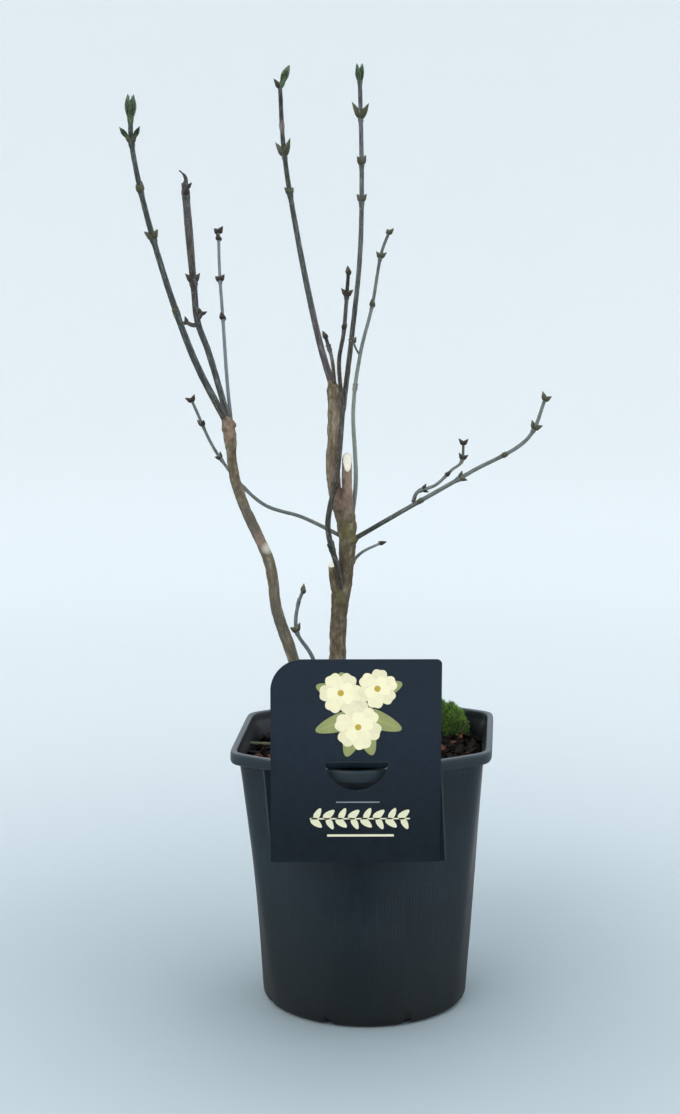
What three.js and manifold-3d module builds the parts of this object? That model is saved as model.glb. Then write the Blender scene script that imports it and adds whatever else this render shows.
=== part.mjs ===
// A young bare lilac in a six-sided nursery pot, with the picture card hooked on the pot's rim.
//
// Millimetres, +Z up. The origin is the middle of the pot's flat underside, +X runs to the right of
// the card and +Y away from it. Stems stand on the compost. Every shoot is one curve: its lower
// part is a bough, and the rest is a mass of twig and buds that carries on from the bough's tip.

import * as THREE from 'three';
import { mergeVertices } from 'three/addons/utils/BufferGeometryUtils.js';
import Module from 'manifold-3d';

const wasm = await Module();
wasm.setup();

// ---------------------------------------------------------------- driving dimensions

const CLEARANCE = 0.3;

// The pot is six-sided at its rim and round at its foot. Apothems are measured to the two side
// flats, and the four flats to front and back lie farther out by bulge. The corners in the middle
// of the front and back are blunted at this many apothems. The soft wall stands out of true: its
// mouth is skewed across by this much for each millimetre back.
const POT = {
  height: 200,
  rimApothem: 93.5,
  rimDepth: 9,
  rimWidth: 4.6,
  neckApothem: 87.5,
  footRadius: 75.5,
  wall: 1.5,
  floor: 2.5,
  bulge: 1.04,
  cornerSharpness: 30,
  blunted: 1.16,
  skew: 0.1,
  segments: 72,
};

const DRAIN = { count: 8, width: 9, height: 5, reach: 8 };

const COMPOST = { level: 184, gap: 0.8, edgeDrop: 4, flatRadius: 64 };

// The moss is a heap of lumps, each given as [across, back, share of the full size].
const MOSS = {
  x: 56,
  y: 52,
  radius: 14,
  height: 27,
  lumps: [[0, 0, 1], [10, -1, 0.66], [-8, 6, 0.6]],
};

const CARD = {
  centre: -10.5,
  face: -108,
  bottom: 136,
  width: 117,
  height: 143.5,
  thickness: 0.8,
  bigCorner: 22,
  smallCorner: 3.5,
};

// The card's window and the tongue pushed back out of it. The tongue slopes down to the rim over
// slope, lies on it as far as crest, and dips behind it by dip at its full reach.
const TONGUE = {
  x: -9.9,
  width: 43.6,
  hinge: 207.7,
  drop: 20.6,
  seat: 1.2,
  slope: 8,
  crest: 17,
  reach: 24,
  dip: 9,
};

// Stems that stand on the compost. radius runs from foot to fork; flare widens the foot, and knobs
// are swollen places, each given as [height along the stem 0..1, how much fatter, half length].
const STEMS = [
  {
    name: 'stem_left',
    route: [
      [-37, -12, 184],
      [-53, -14, 257],
      [-65, -16, 294],
      [-69.5, -17.5, 326],
      [-76.5, -19, 345],
      [-83.5, -21, 360],
      [-94.5, -26, 392],
      [-98.5, -30, 430],
    ],
    radius: [4.8, 3.3],
    flare: 3.2,
    knobs: [[0.97, 1.4, 8]],
    rounded: 4,
  },
  {
    name: 'stem_center',
    route: [[-18, 0, 184], [-21, 2, 255], [-19, 3, 298], [-14.5, 2, 330], [-15, 1, 366]],
    radius: [6.2, 5.8],
    flare: 4.6,
    knobs: [[0.66, 1.0, 9], [0.93, 1.3, 8]],
    rounded: 5,
  },
];

// Sawn-off stubs on the central stem, each with the plane of its old pruning cut.
const STUBS = [
  {
    name: 'stub_left',
    route: [[-18, 1, 298], [-23.5, -2, 313], [-24.5, -3, 330]],
    radius: [3.9, 3.2],
    knobs: [],
    cut: { at: [-24.5, -3, 326], facing: [-0.35, -0.4, 0.85] },
  },
  {
    name: 'stub_middle',
    route: [[-14, 0, 352], [-14.6, -4.5, 373], [-15, -7.5, 391], [-15, -9, 408]],
    radius: [4.4, 2.9],
    knobs: [],
    cut: { at: [-15, -9.4, 405], facing: [0.12, -0.97, 0.2] },
  },
];

// Boughs that end in a fork.
const FORKED_BOUGHS = [
  {
    name: 'bough_center',
    route: [[-15, 1, 352], [-22, -1, 373], [-25, -2, 394], [-24, -1, 424], [-24, 0, 455]],
    radius: [5.1, 4.7],
    knobs: [[0.98, 0.8, 6]],
    rounded: 3.5,
  },
  {
    name: 'bough_slender',
    route: [[-18, 2, 300], [-21, -9, 322], [-28.5, -13, 355], [-22, -12.5, 394], [-18, -10, 442]],
    radius: [2.1, 1.9],
    knobs: [[0.99, 0.5, 4]],
    rounded: 2,
  },
];

// Shoots. boughShare is the part of the shoot that is bough, and a shoot with none meets its parent
// directly. nodes are the places of bud pairs, in millimetres below the tip, and bearings are the
// bearing in degrees of the tip's own buds and of the first pair. spurs are side twigs, each
// [millimetres below the tip, length, bearing round the shoot, lean off it].
const SHOOTS = [
  {
    name: 'left_outer',
    route: [[-97, -29, 426], [-122.9, -42, 480], [-150, -62, 568], [-161, -72, 625], [-161, -75, 646]],
    radius: [2.6, 1.6],
    boughShare: 0.55,
    nodes: [22, 55, 88, 142],
    bearings: [0, 20],
    spurs: [],
    tip: 'open',
  },
  {
    name: 'left_middle',
    route: [[-97, -28, 427], [-113.2, -12, 480], [-120.8, -4, 500], [-124, 4, 527], [-130, 13, 597]],
    radius: [2.2, 2.3],
    boughShare: 0.36,
    nodes: [9, 70],
    bearings: [0, 70],
    spurs: [[101, 9, 10, 55], [97, 7, 190, 60]],
    tip: 'dead',
  },
  {
    name: 'left_inner',
    route: [[-96.5, -28, 427], [-100, -8, 456], [-104, 24, 500], [-107, 46, 535], [-108, 59, 563]],
    radius: [1.35, 1.05],
    boughShare: 0.5,
    nodes: [8, 40, 72],
    bearings: [30, 285],
    spurs: [],
    tip: 'closed',
  },
  {
    name: 'top_left',
    route: [[-23.5, 1, 449], [-34, 10, 483], [-50.5, 42, 560], [-60.2, 54, 621], [-63, 58, 668]],
    radius: [2.5, 1.5],
    boughShare: 0.45,
    nodes: [52, 80, 30],
    bearings: [10, 45],
    spurs: [],
    tip: 'open',
  },
  {
    name: 'tall',
    route: [[-18, -10, 439], [-12, -3, 488], [-6, 6, 547], [-5, 8, 600], [-7, -2, 670]],
    radius: [1.9, 1.5],
    boughShare: 0.42,
    nodes: [28, 60, 86],
    bearings: [0, 40],
    spurs: [],
    tip: 'open',
  },
  {
    name: 'right',
    route: [
      [-12, 3, 352],
      [-8, 13, 383],
      [-9.5, 30, 436],
      [-4, 44, 475],
      [4.6, 55.5, 508],
      [12, 70, 547],
      [18, 76, 562],
    ],
    radius: [1.7, 1.1],
    boughShare: 0.46,
    nodes: [22, 60, 122],
    bearings: [60, 20],
    spurs: [[98, 12, 0, 42]],
    tip: 'closed',
  },
  {
    name: 'low_left',
    route: [[-14, 3, 343], [-46, 15, 357], [-76, 6, 369], [-107, -2, 405], [-126, -12, 447]],
    radius: [1.5, 1.0],
    boughShare: 0.46,
    nodes: [22, 50, 78],
    bearings: [10, 50],
    spurs: [],
    tip: 'closed',
  },
  {
    name: 'low_right',
    route: [[-12, 1, 342], [20, -26, 366], [69, -60, 401], [107, -76, 427], [118, -83, 456]],
    radius: [1.8, 1.2],
    boughShare: 0.33,
    nodes: [24, 54, 90],
    bearings: [40, 10],
    spurs: [],
    tip: 'closed',
  },
  {
    name: 'low_fork',
    route: [
      [31, -35, 376],
      [34, -34, 383],
      [47, -32, 388],
      [59, -28, 398.5],
      [65.5, -26, 403.5],
      [67, -25, 418.5],
    ],
    radius: [1.3, 0.9],
    boughShare: 0,
    nodes: [13, 30, 50],
    bearings: [20, 0],
    spurs: [],
    tip: 'closed',
  },
  {
    name: 'short_left',
    route: [[-23.5, -1, 450], [-26, -7, 475], [-31, -11, 492]],
    radius: [1.5, 1.2],
    boughShare: 0,
    nodes: [10],
    bearings: [80, 10],
    spurs: [],
    tip: 'closed',
  },
  {
    name: 'short_front',
    route: [[-18, -10, 438], [-21, -17, 474], [-18, -21, 494], [-15, -32, 538]],
    radius: [1.6, 1.3],
    boughShare: 0,
    nodes: [18, 42],
    bearings: [80, 10],
    spurs: [],
    tip: 'closed',
  },
  {
    name: 'spur',
    route: [[-12, 3, 325], [-3, 12, 332], [12, 24, 337]],
    radius: [1.2, 0.9],
    boughShare: 0,
    nodes: [],
    bearings: [90, 0],
    spurs: [],
    tip: 'closed',
  },
  {
    name: 'foot',
    route: [[-27, -22, 184], [-39, -34, 262], [-51, -38, 284], [-50, -42, 304], [-46, -46, 316]],
    radius: [1.9, 1.2],
    boughShare: 0.74,
    nodes: [12, 34],
    bearings: [0, 60],
    spurs: [],
    tip: 'closed',
  },
];

const BUD = { length: 6.5, width: 1.7, lean: 34, sides: 5 };
const OPEN_BUD = { length: 13, width: 2.6, lean: 13, sides: 6 };
const OPEN_SIDE_BUD = { length: 12, width: 2.1, lean: 37, sides: 5 };
const DEAD_TIP = { length: 9, width: 1.0, lean: 32, sides: 4 };

const ARC_STEPS = 14;
const STEM_SIDES = 12;
const BOUGH_SIDES = 8;
const TWIG_SIDES = 6;
const SPUR_SIDES = 5;
const ROUND_END_DEGREES = [35, 62, 82];
const FLARE_REACH = 14;
const BUD_SINK = 2.5;
// Bud sizes are for a shoot whose tip has this radius, and each is larger or smaller by up to a
// tenth. A side twig turns this far upward past its middle, and its radii are shares of its parent's.
const USUAL_TIP_RADIUS = 1.5;
const BUD_VARIATION = 0.1;
const SPUR = { middle: 0.45, upturn: 0.35, rootRadius: 0.75, tipRadius: 0.6, budScale: 0.7 };
const STEM_STEP = 11;
const BOUGH_STEP = 12;
const TWIG_STEP = 11;
const SEED = 41;

// ---------------------------------------------------------------- materials

function finish(color, roughness) {
  return new THREE.MeshStandardMaterial({ color, roughness, metalness: 0 });
}

const FINISH = {
  pot: () => finish(0x2b343a, 0.55),
  compost: () => finish(0x2a221b, 0.95),
  moss: () => finish(0x4c6b2c, 0.9),
  card: () => finish(0x25313d, 0.5),
  bark: () => finish(0x73685a, 0.85),
  bough: () => finish(0x5f5347, 0.8),
  twigs: () => finish(0x54473c, 0.7),
};

// ---------------------------------------------------------------- solids

function solidOf(geometry) {
  geometry.deleteAttribute('normal');
  geometry.deleteAttribute('uv');
  const merged = mergeVertices(geometry);
  return new wasm.Manifold(new wasm.Mesh({
    numProp: 3,
    vertProperties: new Float32Array(merged.attributes.position.array),
    triVerts: new Uint32Array(merged.index.array),
  }));
}

function meshOf(name, solid, material) {
  const mesh = solid.getMesh();
  const geometry = new THREE.BufferGeometry();
  geometry.setAttribute('position', new THREE.BufferAttribute(mesh.vertProperties, 3));
  geometry.setIndex(new THREE.BufferAttribute(mesh.triVerts, 1));
  geometry.computeVertexNormals();
  const result = new THREE.Mesh(geometry, material);
  result.name = name;
  return result;
}

function boxSolid(size, centre) {
  const geometry = new THREE.BoxGeometry(size[0], size[1], size[2]);
  geometry.translate(centre[0], centre[1], centre[2]);
  return solidOf(geometry);
}

function largestPiece(solid) {
  const pieces = solid.decompose();
  return pieces.reduce((best, piece) => (piece.volume() > best.volume() ? piece : best));
}

// Repeatable random numbers, so that every run grows the same plant.
function seededRandom(seed) {
  let state = seed;
  return () => {
    state = (state * 1664525 + 1013904223) % 4294967296;
    return state / 4294967296;
  };
}

// ---------------------------------------------------------------- limbs

const AWAY = new THREE.Vector3(0, 1, 0);
const UP = new THREE.Vector3(0, 0, 1);

function curveOf(route) {
  const points = route.map(([x, y, z]) => new THREE.Vector3(x, y, z));
  return new THREE.CatmullRomCurve3(points, false, 'centripetal');
}

// A place on a curve with its three directions: along the limb, away from the card, and across.
function placeOn(curve, share) {
  const at = curve.getPointAt(THREE.MathUtils.clamp(share, 0, 1));
  const along = curve.getTangentAt(THREE.MathUtils.clamp(share, 0, 1));
  at.addScaledVector(along, (share - THREE.MathUtils.clamp(share, 0, 1)) * curve.getLength());
  const away = AWAY.clone().addScaledVector(along, -AWAY.dot(along)).normalize();
  const across = new THREE.Vector3().crossVectors(along, away);
  return { at, along, away, across };
}

// The limb's radius at a share of its length: an even taper, a flared foot and swollen knobs.
function radiusAt(limb, curve, share) {
  const length = curve.getLength();
  const travelled = share * length;
  let radius = THREE.MathUtils.lerp(limb.radius[0], limb.radius[1], share);
  radius += (limb.flare ?? 0) * Math.exp(-travelled / FLARE_REACH);
  for (const [place, swelling, halfLength] of limb.knobs ?? []) {
    radius += swelling * Math.exp(-(((travelled - place * length) / halfLength) ** 2));
  }
  return radius;
}

// The rings of a tube as [distance along the limb, how much of the full radius]. A rounded end
// closes in over its own radius.
function ringsOf(limb, first, last, stepLength) {
  const roundLength = limb.rounded ?? 0;
  const straightEnd = last - roundLength;
  const steps = Math.max(2, Math.round((straightEnd - first) / stepLength));
  const rings = [];
  for (let i = 0; i <= steps; i += 1) {
    rings.push([THREE.MathUtils.lerp(first, straightEnd, i / steps), 1]);
  }
  if (roundLength > 0) {
    for (const degrees of ROUND_END_DEGREES) {
      const angle = THREE.MathUtils.degToRad(degrees);
      rings.push([straightEnd + roundLength * Math.sin(angle), Math.cos(angle)]);
    }
  }
  return rings;
}

// A closed tube along a stretch of a limb: a capped cylinder bent onto the curve. grow fattens it
// and carries it past both ends, which makes the tool that keeps a neighbour clear.
function tubeSolid(limb, curve, from, to, sides, stepLength, grow = 0) {
  const length = curve.getLength();
  const rings = ringsOf(limb, from * length - grow, to * length + grow, stepLength);
  const geometry = new THREE.CylinderGeometry(1, 1, 1, sides, rings.length - 1);
  const position = geometry.attributes.position;
  const point = new THREE.Vector3();
  for (let i = 0; i < position.count; i += 1) {
    const ring = Math.round((position.getY(i) + 0.5) * (rings.length - 1));
    const share = rings[ring][0] / length;
    const place = placeOn(curve, share);
    const fullRadius = radiusAt(limb, curve, THREE.MathUtils.clamp(share, 0, 1)) + grow;
    const radius = fullRadius * rings[ring][1];
    point.copy(place.at)
      .addScaledVector(place.across, position.getX(i) * radius)
      .addScaledVector(place.away, position.getZ(i) * radius);
    position.setXYZ(i, point.x, point.y, point.z);
  }
  return solidOf(geometry);
}

// What already stands, each fattened by the clearance.
const obstacles = [];

function keepClear(solid) {
  let result = solid;
  for (const obstacle of obstacles) {
    result = result.subtract(obstacle);
  }
  return largestPiece(result);
}

function touchesAnything(solid) {
  return obstacles.some((obstacle) => solid.intersect(obstacle).volume() > 0);
}

const BLOCK = { width: 600, depth: 60 };
const underground = boxSolid(
  [BLOCK.width, BLOCK.width, BLOCK.depth],
  [0, 0, COMPOST.level + CLEARANCE - BLOCK.depth / 2],
);

function growLimb(limb, curve, from, to, sides, stepLength) {
  let solid = keepClear(tubeSolid(limb, curve, from, to, sides, stepLength));
  if (limb.route[0][2] <= COMPOST.level) {
    solid = solid.subtract(underground);
  }
  return solid;
}

function standLimb(limb, curve, from, to, sides, stepLength) {
  obstacles.push(tubeSolid(limb, curve, from, to, sides, stepLength, CLEARANCE));
}

// ---------------------------------------------------------------- buds and twigs

function budSolid(kind, scale, at, direction) {
  const length = kind.length * scale;
  const width = kind.width * scale;
  const profile = [[0, 0], [width, 0.36 * length], [0.66 * width, 0.72 * length], [0, length]];
  const points = profile.map(([radius, height]) => new THREE.Vector2(radius, height));
  const geometry = new THREE.LatheGeometry(points, kind.sides);
  geometry.applyQuaternion(new THREE.Quaternion().setFromUnitVectors(AWAY, direction));
  geometry.translate(at.x, at.y, at.z);
  return solidOf(geometry);
}

// A direction that leans off a limb by so many degrees, at a bearing round it.
function leaning(place, lean, bearing) {
  const tilt = THREE.MathUtils.degToRad(lean);
  const turn = THREE.MathUtils.degToRad(bearing);
  return place.along.clone().multiplyScalar(Math.cos(tilt))
    .addScaledVector(place.across, Math.sin(tilt) * Math.cos(turn))
    .addScaledVector(place.away, Math.sin(tilt) * Math.sin(turn))
    .normalize();
}

function budPair(kind, scale, place, bearing) {
  return [0, 180].map((side) => budSolid(kind, scale, place.at, leaning(place, kind.lean, bearing + side)));
}

// Thin shoots have small buds.
function budScale(shoot) {
  return Math.sqrt(shoot.radius[1] / USUAL_TIP_RADIUS);
}

// Buds stand in opposite pairs, and each pair is a quarter turn round from the last.
function budsOf(shoot, curve, random) {
  const length = curve.getLength();
  const buds = [];
  shoot.nodes.forEach((below, index) => {
    const place = placeOn(curve, 1 - below / length);
    const nearTip = shoot.tip === 'open' && index === 0;
    const kind = nearTip ? OPEN_SIDE_BUD : BUD;
    const scale = budScale(shoot) * (1 - BUD_VARIATION + 2 * BUD_VARIATION * random());
    buds.push(...budPair(kind, scale, place, shoot.bearings[1] + index * 90));
  });
  return buds;
}

function tipBuds(shoot, curve) {
  const place = placeOn(curve, 1 - BUD_SINK / curve.getLength());
  const bearing = shoot.bearings[0];
  if (shoot.tip === 'dead') {
    return [budSolid(DEAD_TIP, 1, place.at, leaning(place, DEAD_TIP.lean, bearing))];
  }
  if (shoot.tip === 'open') {
    return budPair(OPEN_BUD, 1, place, bearing);
  }
  return budPair(BUD, budScale(shoot), place, bearing);
}

// A side twig: a short tapering tube that ends in a pair of closed buds.
function spurOf(shoot, curve, [below, length, bearing, lean]) {
  const root = placeOn(curve, 1 - below / curve.getLength());
  const outward = leaning(root, lean, bearing);
  const upward = outward.clone().lerp(UP, SPUR.upturn).normalize();
  const middle = root.at.clone().addScaledVector(outward, SPUR.middle * length);
  const end = middle.clone().addScaledVector(upward, (1 - SPUR.middle) * length);
  const spurCurve = curveOf([root.at.toArray(), middle.toArray(), end.toArray()]);
  const tipRadius = shoot.radius[1];
  const spur = { radius: [SPUR.rootRadius * tipRadius, SPUR.tipRadius * tipRadius] };
  const stem = tubeSolid(spur, spurCurve, 0, 1, SPUR_SIDES, TWIG_STEP);
  const tip = placeOn(spurCurve, 1 - SPUR.tipRadius * BUD_SINK / spurCurve.getLength());
  return wasm.Manifold.union([stem, ...budPair(BUD, SPUR.budScale, tip, bearing)]);
}

// The mass of a shoot: its own stem, then every bud and side twig that stays clear of the limbs.
function growMass(shoot, curve, random) {
  const from = shoot.boughShare > 0 ? shoot.boughShare + CLEARANCE / curve.getLength() : 0;
  const stem = growLimb(shoot, curve, from, 1, TWIG_SIDES, TWIG_STEP);
  const pieces = [...budsOf(shoot, curve, random), ...tipBuds(shoot, curve)];
  shoot.spurs.forEach((spur) => pieces.push(spurOf(shoot, curve, spur)));
  const free = pieces.filter((piece) => !touchesAnything(piece));
  return largestPiece(wasm.Manifold.union([stem, ...free]));
}

// ---------------------------------------------------------------- pot, compost and moss

// How far out a six-sided section with rounded corners lies, against the middle of its flats.
function sixSided(angle) {
  let sum = Math.abs(Math.sin(angle) / POT.blunted) ** POT.cornerSharpness;
  for (let axis = 0; axis < 3; axis += 1) {
    const flat = axis === 0 ? 1 : POT.bulge;
    sum += Math.abs(Math.cos(angle - axis * Math.PI / 3) / flat) ** POT.cornerSharpness;
  }
  return sum ** (-1 / POT.cornerSharpness);
}

// How far the section has gone from round at the foot to six-sided at the neck.
function squareness(height) {
  return THREE.MathUtils.clamp(height / (POT.height - POT.rimDepth), 0, 1) ** 0.8;
}

// A solid turned from a profile of [radius, height], then drawn out to the pot's section.
function potLathe(profile, segments) {
  const points = profile.map(([radius, height]) => new THREE.Vector2(radius, height));
  const geometry = new THREE.LatheGeometry(points, segments);
  const position = geometry.attributes.position;
  for (let i = 0; i < position.count; i += 1) {
    const height = position.getY(i);
    const share = squareness(height);
    const angle = Math.atan2(-position.getZ(i), position.getX(i));
    const radius = Math.hypot(position.getX(i), position.getZ(i))
      * THREE.MathUtils.lerp(1, sixSided(angle), share);
    const back = radius * Math.sin(angle);
    position.setXYZ(i, radius * Math.cos(angle) + POT.skew * share * back, back, height);
  }
  return solidOf(geometry);
}

// The outer wall's flats lie this far from the middle at a height.
function wallApothem(height) {
  const neck = POT.height - POT.rimDepth;
  return THREE.MathUtils.lerp(POT.footRadius, POT.neckApothem, height / neck);
}

function potSolid() {
  const neck = POT.height - POT.rimDepth;
  const rim = POT.rimApothem;
  const inside = rim - POT.rimWidth;
  const profile = [
    [0, 0],
    [POT.footRadius - 6, 0],
    [POT.footRadius - 2, 1.6],
    [wallApothem(6), 6],
    [wallApothem(neck / 2), neck / 2],
    [wallApothem(neck - 0.5), neck - 0.5],
    [rim - 3, neck + 0.3],
    [rim - 1, neck + 1.6],
    [rim, POT.height - 1],
    [rim - 0.8, POT.height],
    [inside + 0.8, POT.height],
    [inside, POT.height - 1],
    [inside - 1, neck + 2],
    [wallApothem(neck) - POT.wall, neck - 2],
    [wallApothem(neck / 2) - POT.wall, neck / 2],
    [wallApothem(6) - POT.wall, 6],
    [POT.footRadius - 5, POT.floor],
    [0, POT.floor],
  ];
  let pot = potLathe(profile, POT.segments);
  for (let i = 0; i < DRAIN.count; i += 1) {
    const bearing = (i + 0.5) * 2 * Math.PI / DRAIN.count;
    const slot = new THREE.BoxGeometry(2 * DRAIN.reach, DRAIN.width, 2 * DRAIN.height);
    slot.translate(POT.footRadius, 0, 0);
    slot.rotateZ(bearing);
    pot = pot.subtract(solidOf(slot));
  }
  return pot;
}

function compostSolid() {
  const level = COMPOST.level;
  const skin = POT.wall + COMPOST.gap;
  const edge = level - COMPOST.edgeDrop;
  const profile = [
    [0, POT.floor + COMPOST.gap],
    [POT.footRadius - 9, POT.floor + COMPOST.gap],
    [wallApothem(9) - skin, 9],
    [wallApothem(level / 2) - skin, level / 2],
    [wallApothem(edge) - skin, edge],
    [COMPOST.flatRadius, level],
    [0, level],
  ];
  return potLathe(profile, POT.segments);
}

// A cushion of moss: a drawn-up ball with two smaller ones beside it, cut flat underneath.
function mossSolid() {
  const balls = MOSS.lumps.map(([x, y, scale]) => {
    const ball = new THREE.SphereGeometry(1, 12, 8);
    ball.rotateX(Math.PI / 2);
    ball.scale(MOSS.radius * scale, MOSS.radius * scale, MOSS.height * scale);
    ball.translate(MOSS.x + x, MOSS.y + y, COMPOST.level);
    return solidOf(ball);
  });
  return wasm.Manifold.union(balls).subtract(underground);
}

// ---------------------------------------------------------------- picture card

function cardPlate() {
  const left = CARD.centre - CARD.width / 2;
  const right = CARD.centre + CARD.width / 2;
  const top = CARD.bottom + CARD.height;
  const small = CARD.smallCorner;
  const big = CARD.bigCorner;
  const plate = new THREE.Shape();
  plate.moveTo(left, CARD.bottom);
  plate.lineTo(right, CARD.bottom);
  plate.lineTo(right, top - small);
  plate.absarc(right - small, top - small, small, 0, Math.PI / 2, false);
  plate.lineTo(left + big, top);
  plate.absarc(left + big, top - big, big, Math.PI / 2, Math.PI, false);
  plate.closePath();
  plate.holes.push(halfRound(TONGUE.x, TONGUE.hinge, TONGUE.width / 2, -TONGUE.drop));
  const geometry = new THREE.ExtrudeGeometry(plate, {
    depth: CARD.thickness, bevelEnabled: false, curveSegments: 8,
  });
  geometry.rotateX(Math.PI / 2);
  geometry.translate(0, CARD.face + CARD.thickness, 0);
  return solidOf(geometry);
}

// Half an ellipse hung from a straight edge.
function halfRound(x, edge, halfWidth, depth) {
  const shape = new THREE.Shape();
  shape.moveTo(x - halfWidth, edge);
  for (let i = 1; i <= ARC_STEPS; i += 1) {
    const angle = Math.PI * i / ARC_STEPS;
    shape.lineTo(x - halfWidth * Math.cos(angle), edge + depth * Math.sin(angle));
  }
  shape.closePath();
  return shape;
}

// The tongue runs back from the window's upper edge, down onto the rim, along it and inside.
function tongueSolid() {
  const seat = POT.height + TONGUE.seat;
  const back = [
    [0, TONGUE.hinge],
    [TONGUE.slope, seat],
    [TONGUE.crest, seat],
    [TONGUE.reach, seat - TONGUE.dip],
  ];
  const side = new THREE.Shape();
  side.moveTo(0, TONGUE.hinge + CARD.thickness);
  back.slice(1).forEach(([reach, height]) => side.lineTo(reach, height));
  back.slice().reverse().forEach(([reach, height]) => side.lineTo(reach, height - CARD.thickness));
  side.closePath();
  const strip = new THREE.ExtrudeGeometry(side, { depth: TONGUE.width, bevelEnabled: false });
  strip.rotateX(Math.PI / 2);
  strip.rotateZ(Math.PI / 2);
  strip.translate(TONGUE.x - TONGUE.width / 2, CARD.face, 0);
  const outline = halfRound(TONGUE.x, CARD.face, TONGUE.width / 2, TONGUE.reach);
  const plan = new THREE.ExtrudeGeometry(outline, { depth: BLOCK.depth, bevelEnabled: false });
  plan.translate(0, 0, POT.height - BLOCK.depth / 2);
  return solidOf(strip).intersect(solidOf(plan));
}

// ---------------------------------------------------------------- assembly

const random = seededRandom(SEED);
const lilac = new THREE.Group();

function addMesh(name, solid, material) {
  lilac.add(meshOf(name, solid, material));
}

addMesh('pot', potSolid(), FINISH.pot());
addMesh('compost', compostSolid(), FINISH.compost());
addMesh('moss', mossSolid(), FINISH.moss());
addMesh('label_card', cardPlate().add(tongueSolid()), FINISH.card());

for (const stem of STEMS) {
  const curve = curveOf(stem.route);
  addMesh(stem.name, growLimb(stem, curve, 0, 1, STEM_SIDES, STEM_STEP), FINISH.bark());
  standLimb(stem, curve, 0, 1, STEM_SIDES, STEM_STEP);
}

for (const bough of FORKED_BOUGHS) {
  const curve = curveOf(bough.route);
  addMesh(bough.name, growLimb(bough, curve, 0, 1, BOUGH_SIDES, BOUGH_STEP), FINISH.bough());
  standLimb(bough, curve, 0, 1, BOUGH_SIDES, BOUGH_STEP);
}

for (const stub of STUBS) {
  const curve = curveOf(stub.route);
  const cutter = new THREE.BoxGeometry(BLOCK.depth, BLOCK.depth, BLOCK.depth);
  const facing = new THREE.Vector3(...stub.cut.facing).normalize();
  cutter.applyQuaternion(new THREE.Quaternion().setFromUnitVectors(AWAY, facing));
  const middle = new THREE.Vector3(...stub.cut.at).addScaledVector(facing, BLOCK.depth / 2);
  cutter.translate(middle.x, middle.y, middle.z);
  const limb = growLimb(stub, curve, 0, 1, BOUGH_SIDES, BOUGH_STEP);
  addMesh(stub.name, largestPiece(limb.subtract(solidOf(cutter))), FINISH.bark());
  standLimb(stub, curve, 0, 1, BOUGH_SIDES, BOUGH_STEP);
}

for (const shoot of SHOOTS.filter(({ boughShare }) => boughShare > 0)) {
  const curve = curveOf(shoot.route);
  const solid = growLimb(shoot, curve, 0, shoot.boughShare, BOUGH_SIDES, BOUGH_STEP);
  addMesh(`bough_${shoot.name}`, solid, FINISH.bough());
  standLimb(shoot, curve, 0, shoot.boughShare, BOUGH_SIDES, BOUGH_STEP);
}

for (const shoot of SHOOTS) {
  const curve = curveOf(shoot.route);
  addMesh(`twigs_${shoot.name}`, growMass(shoot, curve, random), FINISH.twigs());
  standLimb(shoot, curve, shoot.boughShare, 1, TWIG_SIDES, TWIG_STEP);
}

export default lilac;
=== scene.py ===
"""A young bare lilac in a six-sided nursery pot, with its picture card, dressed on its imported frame."""
import math

import bpy
import numpy as np
from bpy.props import FloatProperty, FloatVectorProperty, IntProperty, PointerProperty
from mathutils import Euler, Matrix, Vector
from mathutils.geometry import tessellate_polygon


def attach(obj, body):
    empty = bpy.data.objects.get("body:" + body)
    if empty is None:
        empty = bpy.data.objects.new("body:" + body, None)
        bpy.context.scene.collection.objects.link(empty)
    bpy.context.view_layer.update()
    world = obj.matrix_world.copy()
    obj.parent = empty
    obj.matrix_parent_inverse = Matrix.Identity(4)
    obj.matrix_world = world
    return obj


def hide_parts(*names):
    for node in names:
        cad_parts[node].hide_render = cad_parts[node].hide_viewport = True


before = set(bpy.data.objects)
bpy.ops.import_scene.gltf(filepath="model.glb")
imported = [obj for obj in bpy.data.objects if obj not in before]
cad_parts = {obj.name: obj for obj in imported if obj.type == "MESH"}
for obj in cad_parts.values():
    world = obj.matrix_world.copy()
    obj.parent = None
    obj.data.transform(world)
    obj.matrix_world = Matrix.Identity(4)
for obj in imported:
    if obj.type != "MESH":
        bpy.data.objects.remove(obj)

bl_info = {
    "name": "Potted Lilac",
    "version": (1, 0, 0),
    "blender": (4, 5, 0),
    "location": "3D View > Sidebar > Lilac",
    "description": "Dresses a bare young lilac in its nursery pot with bark, buds, compost and card",
    "category": "Add Mesh",
}

MM = 0.001
TURN = 2 * math.pi


def linear(code):
    """The linear colour, with full alpha, of an sRGB hex code such as #6b6152."""
    shares = [int(code[i:i + 2], 16) / 255 for i in (1, 3, 5)]
    return tuple(c / 12.92 if c <= 0.04045 else ((c + 0.055) / 1.055) ** 2.4 for c in shares) + (1.0,)


# ------------------------------------------------------------------ the plant, in millimetres

FLARE_REACH = 14
BUD_SINK = 2.5
USUAL_TIP_RADIUS = 1.5
BUD_VARIATION = 0.1
SEED = 41

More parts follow.
